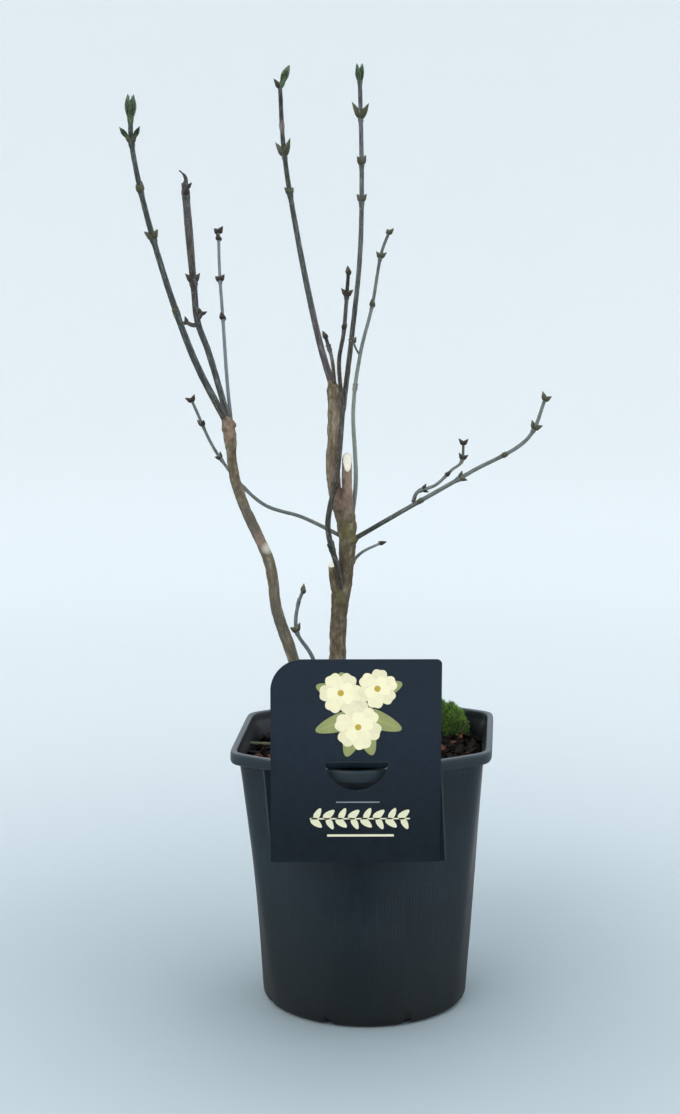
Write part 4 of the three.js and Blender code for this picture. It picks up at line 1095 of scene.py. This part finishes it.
class LILAC_OT_card(bpy.types.Operator):
    """Hang the picture card on the rim by its tongue"""
    bl_idname = "lilac.card"
    bl_label = "Picture Card"

    def execute(self, context):
        settings = context.scene.lilac_card
        sheet, edges = Heap(), Heap()
        self.cut_sheet(sheet, edges)
        self.fold_tongue(sheet, edges)
        # The card's ground carries painted shade towards its foot.
        ground = printed_polypropylene("printed_polypropylene_slate", settings.sheet_colour, 0.42, low_shade=0.8)
        cut = printed_polypropylene("cut_polypropylene_edge", linear("#3d474e"), 0.5)
        join_piece("picture_card", sheet, ground, ["label_card"], smooth=False)
        self.add_sleeve(edges)
        join_piece("card_edges", edges, cut, smooth=False)
        self.print_motif(settings.print_lift / MM)
        return {"FINISHED"}

    @staticmethod
    def arc(x, z, radius, start, end, steps=12):
        angle = np.radians(np.linspace(start, end, steps))
        return [(x + radius * math.cos(a), z + radius * math.sin(a)) for a in angle]

    @staticmethod
    def add_plate(heap, edges, outline, hole, front, back):
        """Front and back sheets of a flat plate, and the walls of its edges."""
        loops = [loop for loop in (outline, hole) if loop]
        flat = [[Vector((x, z, 0)) for x, z in loop] for loop in loops]
        triangles = tessellate_polygon(flat)
        spots = np.array([(v.x, v.y) for loop in flat for v in loop])
        for depth, facing in ((front, -1), (back, 1)):
            points = np.column_stack([spots[:, 0], np.full(len(spots), depth), spots[:, 1]])
            turned = []
            for a, b, c in triangles:
                area = np.cross(spots[b] - spots[a], spots[c] - spots[a])
                turned.append([a, b, c] if (area > 0) == (facing < 0) else [a, c, b])
            heap.add(points, [turned], shade=0.0)
        for ring in map(np.array, loops):
            walls = np.vstack([np.column_stack([ring[:, 0], np.full(len(ring), y), ring[:, 1]])
                               for y in (front, back)])
            edges.add(walls, [grid_faces(2, len(ring), True, flip=True)], shade=0.0)

    def cut_sheet(self, sheet, edges):
        """The flat card, with one large and one small round corner and the window of its tongue."""
        top, big, small = CARD["bottom"] + CARD["height"], CARD["big"], CARD["small"]
        outline = [(CARD_LEFT, CARD["bottom"]), (CARD_RIGHT, CARD["bottom"]),
                   *self.arc(CARD_RIGHT - small, top - small, small, 0, 90),
                   *self.arc(CARD_LEFT + big, top - big, big, 90, 180, 24)]
        half = TONGUE["width"] / 2
        window = [(TONGUE["x"] - half * math.cos(a), TONGUE["hinge"] - TONGUE["drop"] * math.sin(a))
                  for a in np.linspace(0, math.pi, 40)]
        self.add_plate(sheet, edges, outline, window, CARD["face"], CARD["face"] + CARD["thickness"])

    @staticmethod
    def fold_tongue(sheet, edges):
        """The tongue folds back at the hinge, slopes to the rim, lies on it and dips inside."""
        hinge, seat = TONGUE["hinge"], POT["height"] + TONGUE["seat"]
        reach = TONGUE["reach"] * np.linspace(0, 0.995, 26) ** 0.8
        height = np.interp(reach, [0, 1.6, TONGUE["slope"], TONGUE["crest"], TONGUE["reach"]],
                           [hinge + 0.6, hinge - 0.2, seat, seat, seat - TONGUE["dip"]])
        height = np.convolve(np.pad(height, 1, mode="edge"), [0.25, 0.5, 0.25], mode="valid")
        across = np.linspace(-1, 1, 21)
        wide = TONGUE["width"] / 2 * np.sqrt(1 - (reach / TONGUE["reach"]) ** 2)
        upper = np.stack([TONGUE["x"] + wide[:, None] * across, CARD["face"] + reach[:, None] + 0 * across,
                          height[:, None] + 0 * across], axis=-1).reshape(-1, 3)
        points = np.vstack([upper, upper - [0, 0, CARD["thickness"]]])
        grid = grid_faces(len(reach), len(across), False)
        sheet.add(points, [grid, (grid + len(upper))[:, ::-1]], shade=0.0)
        rows = np.arange(len(reach)) * len(across)
        border = np.concatenate([rows, rows[::-1] + len(across) - 1])
        edges.add(np.vstack([points[border], points[border + len(upper)]]),
                  [grid_faces(2, len(border), True, flip=True)], shade=0.0)

    def add_sleeve(self, edges):
        """The sleeve behind the card, which shows as a narrow leaf with a pale hem at either side."""
        sleeve, hem = Heap(), Heap()
        back, foot, top = CARD["face"] + CARD["thickness"], CARD["bottom"] + 0.4, SLEEVE["top"]
        for side, edge, (far_top, far_foot) in ((1, CARD_LEFT, SLEEVE["left"]),
                                                (-1, CARD_RIGHT, SLEEVE["right"])):
            near, far_top, far_foot = edge + side * SLEEVE["lap"], edge + far_top, edge + far_foot
            inner_foot, inner_top = far_foot + side * SLEEVE["hem"], far_top + side * SLEEVE["hem"]
            leaf = [(far_foot, foot), (near, foot), (near, top), (far_top, top)]
            line = [(far_foot, foot), (inner_foot, foot), (inner_top, top), (far_top, top)]
            self.add_plate(sleeve, edges, leaf[::side], [], back + 0.05, back + 0.45)
            self.add_plate(hem, edges, line[::side], [], back, back + 0.5)
        for name, heap, sheet, code, rough in (
                ("card_sleeve", sleeve, "polypropylene_sleeve", "#151d26", 0.4),
                ("sleeve_hem", hem, "polypropylene_hem", "#36424a", 0.45)):
            join_piece(name, heap, printed_polypropylene(sheet, linear(code), rough), smooth=False)

    def print_motif(self, lift):
        """Three round blossoms on a leafy spray, and a border of small leaves, in flat inks."""
        inks = {ink: Heap() for ink in INKS}

        def stamp(ink, outline, layer, shade=0.0):
            """Prints an outline, over all the lower layers, in an ink that is darker by its shade."""
            spots = np.asarray(outline, float)
            area = np.sum(spots[:, 0] * np.roll(spots[:, 1], -1) - spots[:, 1] * np.roll(spots[:, 0], -1))
            spots = spots if area > 0 else spots[::-1]
            depth = CARD["face"] - lift - 0.02 * layer
            inks[ink].add(np.column_stack([spots[:, 0], np.full(len(spots), depth), spots[:, 1]]),
                          [[list(range(len(spots)))]], shade=shade)

        for x, z, long, turn in SPRAY:
            stamp("leaf_green_ink", self.leaf(x, z, long, 6.6, turn), 0, 0.3)
            stamp("leaf_green_ink", self.leaf(x, z, long * 0.9, 0.6, turn), 1, -0.6)
        for number, (x, z, size) in enumerate(BLOSSOMS):
            for ring, (count, reach) in enumerate(((6, 1.0), (5, 0.66))):
                for k in range(count):
                    turn = TURN * (k + 0.37 * number + 0.5 * ring) / count
                    stamp("cream_ink", self.petal(x, z, size * reach, size * reach * 0.46, turn),
                          2 + 0.2 * k + 2 * ring, 0.1 + 0.12 * (k % 2) - 0.14 * ring)
            stamp("ochre_ink", self.arc(x, z, 2.2, 0, 360, 14)[:-1], 6)
        t = np.linspace(0, TURN, 20)[:-1]
        stamp("cream_ink", np.column_stack([-9 + 7 * np.cos(t), 246 + 6 * np.sin(t)]), 1.5, 0.35)
        for k in range(BORDER["count"]):
            x, up = BORDER["x"] + k * BORDER["step"], 1 if k % 2 else -1
            stamp("buff_ink", self.leaf(x, BORDER["z"], 9.5, 2.5, up * 40), 0)
            stamp("buff_ink", self.leaf(x + 2.5, BORDER["z"], 8.5, 2.2, -up * 62), 0)
        for ink, x0, x1, z0, z1 in RULES:
            stamp(ink, [(x0, z0), (x1, z0), (x1, z1), (x0, z1)], 0)
        for ink, (name, code) in INKS.items():
            join_piece(name, inks[ink], printed_polypropylene(ink, linear(code), 0.42, 0.1),
                       smooth=False)

    @staticmethod
    def turned(x, z, up, side, turn):
        """An outline that grows up from a point of the card, turned by radians."""
        return np.column_stack([x + up * math.cos(turn) - side * math.sin(turn),
                                z + up * math.sin(turn) + side * math.cos(turn)])

    def petal(self, x, z, long, wide, turn):
        """A round petal, narrow at its foot and notched at its tip, turned by radians."""
        t = np.linspace(0, TURN, 22, endpoint=False)
        up, side = (1 - np.cos(t)) / 2 * long, np.sin(t) * wide * (0.55 + 0.45 * (1 - np.cos(t)) / 2)
        return self.turned(x, z, up - 0.09 * long * np.exp(-((t - math.pi) / 0.35) ** 2), side, turn)

    def leaf(self, x, z, long, wide, turn):
        """A leaf, widest near its foot, turned by degrees."""
        t = np.linspace(0, math.pi, 14)
        up = (1 - np.cos(t)) / 2 * long
        side = wide * np.sin(t) ** 0.9 * (1.25 - 0.6 * (1 - np.cos(t)) / 2)
        return self.turned(x, z, np.concatenate([up, up[-2:0:-1]]), np.concatenate([side, -side[-2:0:-1]]),
                           math.radians(turn))


class LILAC_OT_old_wood(bpy.types.Operator):
    """Grow stems, stubs and the thick bough into one skin of cracked bark"""
    bl_idname = "lilac.old_wood"
    bl_label = "Old Wood"

    def execute(self, context):
        settings = context.scene.lilac_wood
        heap, spines = self.rough_wood()
        skin = with_modifier(bpy.data.objects.new("old_wood", heap_mesh("old_wood_raw", heap)), "REMESH",
                             mode="VOXEL", voxel_size=settings.voxel, adaptivity=0.0)
        mesh = skin.data
        points = self.read(mesh.vertices, "co", float).reshape(-1, 3) / MM
        points = self.relax(points, self.read(mesh.edges, "vertices", int, 2).reshape(-1, 2), 3)
        grain, near = self.follow(points, spines)
        mesh.vertices.foreach_set("co", (points * MM).ravel())
        mesh.update()
        normals = self.read(mesh.vertices, "normal", float).reshape(-1, 3)
        cut = self.cut_faces(points, normals)
        # Cracks 2 mm apart round the stem and 9 mm long, over lumps 7 mm and 3 mm across.
        crack = 1 - np.abs(smooth_noise(grain * [0.55, 0.55, 0.11], 11)) * 3.2
        finer = 1 - np.abs(smooth_noise(grain * [1.1, 1.1, 0.24] + 31, 12)) * 3.0
        crack = np.clip(crack, 0, 1) * 0.7 + np.clip(finer, 0, 1) * 0.3
        lump = smooth_noise(points / 6.5, 13) + 0.5 * smooth_noise(points / 2.6, 14)
        # The bark is thinner and smoother on the thin limbs.
        thick = np.clip((near - 1.6) / 3, 0.15, 1)
        rise = (settings.relief / MM) * thick * (0.75 * lump - 0.85 * crack + 0.2) * (1 - cut)
        points = points + normals * rise[:, None]
        mesh.vertices.foreach_set("co", (points * MM).ravel())
        for trait, values in (("grain", grain), ("patch", self.patches(points)),
                              ("crack", 0.6 * crack * thick), ("cut", cut)):
            set_trait(mesh, trait, values)
        place_piece(skin, old_lilac_bark(settings), list(OLD_WOOD))
        return {"FINISHED"}

    @staticmethod
    def rough_wood():
        """Smooth tubes of all the old wood and of the swollen feet on it, and each tube's limb, radius
        and place along the grain."""
        heap, spines = Heap(), []
        for number, part in enumerate(OLD_WOOD.values()):
            limb = Limb(part["route"])
            girth = old_girth(part, limb)
            add_tube(heap, limb, 0, limb.length, 1.2, 28, girth)
            if "cut" in part:
                at, facing = cut_plane(part)
                proud = np.clip((heap.points[-1] - at) @ facing, 0, None)
                heap.points[-1] -= proud[:, None] * facing
            spines.append((limb, girth, number * 400))
        for number, name in enumerate(ON_OLD_WOOD):
            shoot = SLENDER if name == "slender" else SHOOTS[name]
            limb, low = Limb(shoot["route"]), shoot["radius"][0]
            girth = collar_girth(low)
            add_tube(heap, limb, 0, low * 5 + 4, 0.8, 20, girth)
            spines.append((limb, girth, 3000 + number * 60))
        return heap, spines

    @staticmethod
    def read(items, field, kind, width=3):
        """One field of a mesh's points or edges, as a flat array."""
        values = np.zeros(len(items) * width, kind)
        items.foreach_get(field, values)
        return values

    @staticmethod
    def cut_faces(points, normals):
        """How much of each point is bare cream wood: the faces of the cuts, and part of the scar."""
        cut = np.zeros(len(points))
        for part in OLD_WOOD.values():
            if "cut" in part:
                at, facing = cut_plane(part)
                on_plane = np.clip(1 - (np.abs((points - at) @ facing) - 0.35) / 0.35, 0, 1)
                # A cut along the limb is longer than one across it.
                close = np.linalg.norm(points - at, axis=1) < (12 if abs(facing[2]) < 0.5 else 6)
                cut = np.maximum(cut, on_plane * close * (normals @ facing > 0.8))
        *where, reach = WOOD_SCAR
        return np.maximum(cut, 0.55 * np.clip(1.6 - np.linalg.norm(points - where, axis=1) / reach, 0, 1))

    @staticmethod
    def patches(points):
        """The share of each colour of its own at each point, as olive, pink, umber and grey."""
        patch = np.zeros((len(points), 4))
        for column, (strongest, places) in enumerate(BARK_PATCHES.values()):
            for x, y, z, reach in places:
                gap = np.linalg.norm((points - [x, y, z]) / [1, 1, 1.3], axis=1) / reach
                soft = np.clip(1.1 - gap + 0.7 * smooth_noise(points / 2.4, 15 + column), 0, 1)
                patch[:, column] = np.maximum(patch[:, column], strongest * soft)
        return patch

    @staticmethod
    def relax(points, pairs, times):
        """Evens out the voxels' steps without shrinking the wood."""
        count = np.bincount(pairs.ravel(), minlength=len(points))[:, None]
        for weight in [0.5, -0.52] * times:
            total = np.zeros_like(points)
            np.add.at(total, pairs[:, 0], points[pairs[:, 1]])
            np.add.at(total, pairs[:, 1], points[pairs[:, 0]])
            points = points + weight * (total / count - points)
        return points

    @staticmethod
    def follow(points, spines):
        """Each point's grain on its nearest limb, and that limb's radius there."""
        best = np.full(len(points), 1e9)
        grain, near = np.zeros((len(points), 3)), np.zeros(len(points))
        block_size = 6000
        for limb, girth, offset in spines:
            places = np.linspace(0, limb.length, int(limb.length / 1.5) + 2)
            at, along, away, across = limb.frames(places)
            radius = girth(places[:, None], np.zeros((1, 1)))[:, 0]
            for start in range(0, len(points), block_size):
                block = points[start:start + block_size]
                gap = np.linalg.norm(block[:, None] - at[None], axis=2)
                pick = np.argmin(gap - 0.5 * radius[None], axis=1)
                score = gap[np.arange(len(block)), pick] - radius[pick]
                rows = np.nonzero(score < best[start:start + block_size])[0]
                if not len(rows):
                    continue
                chosen = pick[rows]
                out = block[rows] - at[chosen]
                grain[start + rows] = np.column_stack([
                    np.sum(out * across[chosen], axis=1), np.sum(out * away[chosen], axis=1),
                    places[chosen] + np.sum(out * along[chosen], axis=1) + offset])
                near[start + rows] = radius[chosen]
                best[start + rows] = score[rows]
        return grain, near


class LILAC_OT_shoots(bpy.types.Operator):
    """Grow the boughs and twigs as tubes of young bark with pores and side twigs"""
    bl_idname = "lilac.shoots"
    bl_label = "Boughs And Twigs"

    def execute(self, context):
        settings = context.scene.lilac_wood
        boughs, twigs, pores = Heap(), Heap(), Heap()
        dice = np.random.default_rng(SEED)
        for number, shoot in enumerate([*SHOOTS.values(), SLENDER]):
            limb = Limb(shoot["route"])
            girth = shoot_girth(shoot, limb, 50 + number, 0.12)
            tone = toned(shoot, limb.length)
            fork = limb.length * shoot["share"]
            if shoot["share"] > 0:
                add_tube(boughs, limb, 0, fork, 0.9, settings.sides, girth, tone=tone)
            if shoot["share"] < 1:
                add_tube(twigs, limb, fork, limb.length, 0.9, settings.sides, girth, tone=tone)
            for spur, _ in spurs_of(shoot, limb):
                thick = shoot["radius"][1]
                low, high = SPUR["root_radius"] * thick, SPUR["tip_radius"] * thick
                add_tube(twigs, spur, 0, spur.length, 0.6, 12,
                         lambda place, turn: low + (high - low) * place / spur.length + 0 * turn, tone=tone)
            for _ in range(int(settings.pores * limb.length / 100)):
                self.add_pore(pores, limb, girth, dice)
        join_piece("boughs", boughs, young_lilac_bark("young_lilac_bark", 0.62),
                   ["bough_slender"] + [f"bough_{n}" for n, s in SHOOTS.items() if s["share"] > 0])
        join_piece("twigs", twigs, young_lilac_bark("last_season_lilac_bark", 0.55),
                   [f"twigs_{n}" for n in SHOOTS])
        join_piece("bark_pores", pores, grown_skin("corky_pores", "#7c7466", "#b3aa98", 0.85, 0.5))
        return {"FINISHED"}

    @staticmethod
    def add_pore(heap, limb, girth, dice):
        """A raised pore: a low oval boss, longer along the twig than round it."""
        sides = 8
        place, angle = dice.uniform(5, limb.length - 3), dice.uniform(0, TURN)
        long, wide = dice.uniform(0.3, 0.75), dice.uniform(0.14, 0.24)
        rows = []
        for reach, lift in ((1.0, -0.06), (0.6, 0.1)):
            for k in range(sides):
                turn = TURN * k / sides
                s = place + reach * long * math.cos(turn)
                around = girth(np.array([[s]]), np.array([[angle]]))[0, 0]
                a = angle + reach * wide * math.sin(turn) / around
                at, _, away, across = [v[0] for v in limb.frames(s)]
                rows.append(at + (across * math.cos(a) + away * math.sin(a)) * (around + lift))
        cap = [[sides + k for k in range(sides)]]
        heap.add(np.array(rows), [grid_faces(2, sides, True), cap], tip=dice.uniform(0.1, 0.9))


class LILAC_OT_buds(bpy.types.Operator):
    """Set buds in opposite pairs on every shoot, and leaf tufts on the open tips"""
    bl_idname = "lilac.buds"
    bl_label = "Buds"

    def execute(self, context):
        scales = {tone: Heap() for tone in BUD_TONES}
        leaves, dead = Heap(), Heap()
        steps = stepping_random(SEED)
        dice = np.random.default_rng(SEED + 1)
        for name, shoot in {**SHOOTS, "slender": SLENDER}.items():
            limb = Limb(shoot["route"])
            heap, plump = scales[shoot["buds"]], shoot.get("plump", 1)
            usual = math.sqrt(shoot["radius"][1] / USUAL_TIP_RADIUS)
            for index, below in enumerate(shoot["nodes"]):
                size = usual * (1 - BUD_VARIATION + 2 * BUD_VARIATION * next(steps))
                size *= (0.8 if name == "slender" else 1) * shoot.get("small", {}).get(index, 1)
                opening = shoot["tip"] == "open" and index == 0
                leafy = opening and shoot.get("leafy", False)
                kind = OPEN_SIDE_BUD if opening else BUD
                long, wide = OPEN_SIDE_BUD["core"] if leafy else (1, plump)
                pair = add_bud_pair(heap, limb, limb.length - below, kind, shoot["bearings"][1] + index * 90,
                                    dice, size * long, size * wide)
                for at, out in pair if leafy else ():
                    for k in range(3):
                        folded_leaf(leaves, at + out * kind["length"] * 0.16, out, kind["length"] * 0.84,
                                    kind["width"] * 0.78, k * TURN / 3, 0.05, 0.45)
            if shoot["tip"] == "open":
                self.open_tip(scales, leaves, limb, shoot, dice)
            elif shoot["tip"] == "closed":
                add_bud_pair(heap, limb, limb.length - BUD_SINK, BUD, shoot["bearings"][0], dice,
                             usual, usual * plump)
            elif shoot["tip"] == "dead":
                self.dead_tip(dead, limb, shoot)
            for spur, bearing in spurs_of(shoot, limb):
                add_bud_pair(heap, spur, spur.length - SPUR["tip_radius"] * BUD_SINK, BUD, bearing, dice,
                             SPUR["bud_scale"], SPUR["bud_scale"])
        for tone, (low, high) in BUD_TONES.items():
            join_piece(f"buds_{tone}", scales[tone], grown_skin(f"bud_scales_{tone}", low, high, 0.55, 0.8))
        join_piece("leaf_tufts", leaves, grown_skin("young_leaf", "#2b382d", "#7d9672", 0.5, 1.2))
        join_piece("dead_tip", dead, grown_skin("dead_lilac_wood", "#2b2622", "#6a6158", 0.9, 0.7))
        return {"FINISHED"}

    @staticmethod
    def open_tip(scales, leaves, limb, shoot, dice):
        """The two buds of a tip that opens: tufts of leaves, or one tuft and a bud that stays shut."""
        usual = (1, OPEN_BUD["lean"], OPEN_BUD["sink"], 1)
        for side, (size, lean, sink, plump) in zip((0, 180), shoot.get("tip_buds", (usual, usual))):
            at, out = limb.leaning(limb.length - sink, lean, shoot["bearings"][0] + side)
            length, width = OPEN_BUD["length"] * size, OPEN_BUD["width"] * size * plump
            if size < CLOSED_UNDER:
                closed_bud(scales["brown"], at, out, length, width, dice.uniform(0, TURN))
            else:
                open_bud(scales["green"], leaves, at, out, length, width, math.radians(side), dice)

    @staticmethod
    def dead_tip(heap, limb, shoot):
        """A dried snag that hooks over to one side, with a withered bud beside it."""
        at, thick = limb.point(limb.length - 1.5), shoot["radius"][1]
        hook = Limb([at, at + [0.7, 0, 3.8], at + [-0.4, 0, 6.8], at + [-4.0, -0.3, 10.4]])
        add_tube(heap, hook, 0, hook.length, 0.5, 12, lambda place, turn: (
            thick * (1 - 0.84 * (place / hook.length) ** 0.75) + 0.14 * np.cos(2 * turn + place)))
        heap.traits = {"tip": [np.full(heap.count, 0.35)]}
        closed_bud(heap, at + [1.6, 0, -2.0], unit(np.array([0.62, -0.1, 0.75])), DEAD_BUD["length"],
                   DEAD_BUD["width"], 0.4, 0.3)


class LILAC_OT_stage(bpy.types.Operator):
    """Lay the pale floor, and set the camera and the soft light"""
    bl_idname = "lilac.stage"
    bl_label = "Stage"

    def execute(self, context):
        settings = context.scene.lilac_stage
        self.sweep(context.scene, settings)
        self.room(context.scene, settings)
        for name, place, size, share, colour in LAMPS:
            lamp = bpy.data.lights.new(name, "AREA")
            lamp.size, lamp.energy, lamp.color = size, settings.key_light * share, linear(colour)[:3]
            light = bpy.data.objects.new(name, lamp)
            light.location = place
            light.rotation_euler = (Vector((0, 0, 0.3)) - Vector(place)).to_track_quat("-Z", "Y").to_euler()
            context.scene.collection.objects.link(light)
        self.camera(context.scene)
        context.scene.view_settings.view_transform = "Standard"
        return {"FINISHED"}

    @staticmethod
    def sweep(scene, settings):
        """A floor of matt paper that sweeps up into a wall all round. It is painted darker near the pot as
        shade, and the wall glows with a light of its own.
        """
        sides = 96
        bend = np.radians(np.linspace(0, 88, 24))
        rows = [(reach, 0.0) for reach in (0.06, 0.12, 0.18, 0.25, 0.35, 0.5, 0.7, 0.9, 1.2, 1.6, 2.2)]
        rows += [(3.4 + 1.8 * math.sin(b), 1.8 * (1 - math.cos(b))) for b in bend] + [(5.3, 4.5)]
        radius, height = np.array(rows).T
        angle = np.linspace(0, TURN, sides, endpoint=False)
        points = np.stack([radius[:, None] * np.cos(angle), radius[:, None] * np.sin(angle),
                           height[:, None] + 0 * angle], axis=-1).reshape(-1, 3)
        ring = np.arange(sides)
        middle = np.stack([ring * 0 + len(points), ring, (ring + 1) % sides], axis=-1)
        mesh = bpy.data.meshes.new("floor_sweep")
        mesh.from_pydata([*points.tolist(), [0.0, 0.0, 0.0]], [],
                         grid_faces(len(rows), sides, True, flip=True).tolist() + middle.tolist())
        mesh.polygons.foreach_set("use_smooth", np.full(len(mesh.polygons), True))
        # Painted shade: the floor is darkest near the pot and lightens outward into the wall's colour and
        # glow.
        rise = np.clip(1.1 * (1 - 1 / np.sqrt(1 + (radius / 0.4) ** 2)), 0, 1)
        set_trait(mesh, "rise", np.append(np.repeat(rise, sides), 0.0))
        floor = bpy.data.objects.new("floor_sweep", mesh)
        scene.collection.objects.link(floor)
        finish, tree, shader = new_finish("matt_paper", Roughness=0.9, Specular_IOR_Level=0.2,
                                          Emission_Color=settings.wall_colour)
        share = add_node(tree, "Attribute", out="Fac", attribute_name="rise")
        colour = add_node(tree, inputs={0: share, 6: settings.shaded_floor_colour, 7: settings.wall_colour},
                          **COLOUR_MIX)
        glow = add_node(tree, "MapRange", (share, 0.75, 1.0, 0.0, settings.wall_glow))
        fill(shader, {"Base Color": colour, "Emission Strength": glow})
        mesh.materials.append(finish)
        # Gloss on the object shows the room's soft boxes and not the sweep.
        floor.visible_glossy = False

    @staticmethod
    def room(scene, settings):
        """A soft room, bright above, behind and at both sides, and dim on the viewer's side."""
        world = bpy.data.worlds.new("soft_room")
        world.use_nodes = True
        tree = world.node_tree
        way = add_node(tree, "TexCoord", out="Generated")
        _, away, up = add_node(tree, "SeparateXYZ", [way]).node.outputs
        bright = add_node(tree, "Math", [add_node(tree, "MapRange", where) for where in (
            (away, -0.8, 0.15, 0.12, 1.4), (up, -0.5, 0.5, 0.35, 1.0))], operation="MULTIPLY")
        strength = add_node(tree, "Math", (bright, settings.soft_light), operation="MULTIPLY")
        fill(tree.nodes["Background"], {"Color": linear("#eff6fb"), "Strength": strength})
        scene.world = world

    @staticmethod
    def camera(scene):
        lens = bpy.data.cameras.new("camera")
        lens.sensor_width, lens.lens, lens.clip_start, lens.clip_end = 36, CAMERA["lens"], 0.05, 50
        camera = bpy.data.objects.new("camera", lens)
        camera.location = CAMERA["place"]
        yaw, pitch, roll = [math.radians(CAMERA[turn]) for turn in ("yaw", "pitch", "roll")]
        camera.rotation_euler = (Euler((0, 0, yaw)).to_matrix() @ Euler((pitch, 0, 0)).to_matrix()
                                 @ Euler((0, 0, roll)).to_matrix()).to_euler()
        scene.collection.objects.link(camera)
        scene.camera = camera


class LILAC_PT_panel(bpy.types.Panel):
    """Lists the lilac's pieces and their settings"""
    bl_idname = "LILAC_PT_panel"
    bl_label = "Potted Lilac"
    bl_space_type = "VIEW_3D"
    bl_region_type = "UI"
    bl_category = "Lilac"

    def draw(self, context):
        for operator in OPERATORS:
            self.layout.operator(operator.bl_idname)
        for name, kind in SETTINGS.items():
            box = self.layout.box()
            for field in kind.__annotations__:
                box.prop(getattr(context.scene, name), field)


SETTINGS = {"lilac_pot": LilacPotSettings, "lilac_soil": LilacSoilSettings, "lilac_card": LilacCardSettings,
            "lilac_wood": LilacWoodSettings, "lilac_stage": LilacStageSettings}
OPERATORS = (LILAC_OT_stage, LILAC_OT_pot, LILAC_OT_compost, LILAC_OT_moss, LILAC_OT_card, LILAC_OT_old_wood,
             LILAC_OT_shoots, LILAC_OT_buds)


def register():
    for kind in (*SETTINGS.values(), *OPERATORS, LILAC_PT_panel):
        bpy.utils.register_class(kind)
    for name, kind in SETTINGS.items():
        setattr(bpy.types.Scene, name, PointerProperty(type=kind))


def unregister():
    for name in SETTINGS:
        delattr(bpy.types.Scene, name)
    for kind in reversed((*SETTINGS.values(), *OPERATORS, LILAC_PT_panel)):
        bpy.utils.unregister_class(kind)


def main():
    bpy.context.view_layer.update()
    register()
    for operator in OPERATORS:
        group, name = operator.bl_idname.split(".")
        getattr(getattr(bpy.ops, group), name)()


if __name__ == "__main__":
    main()
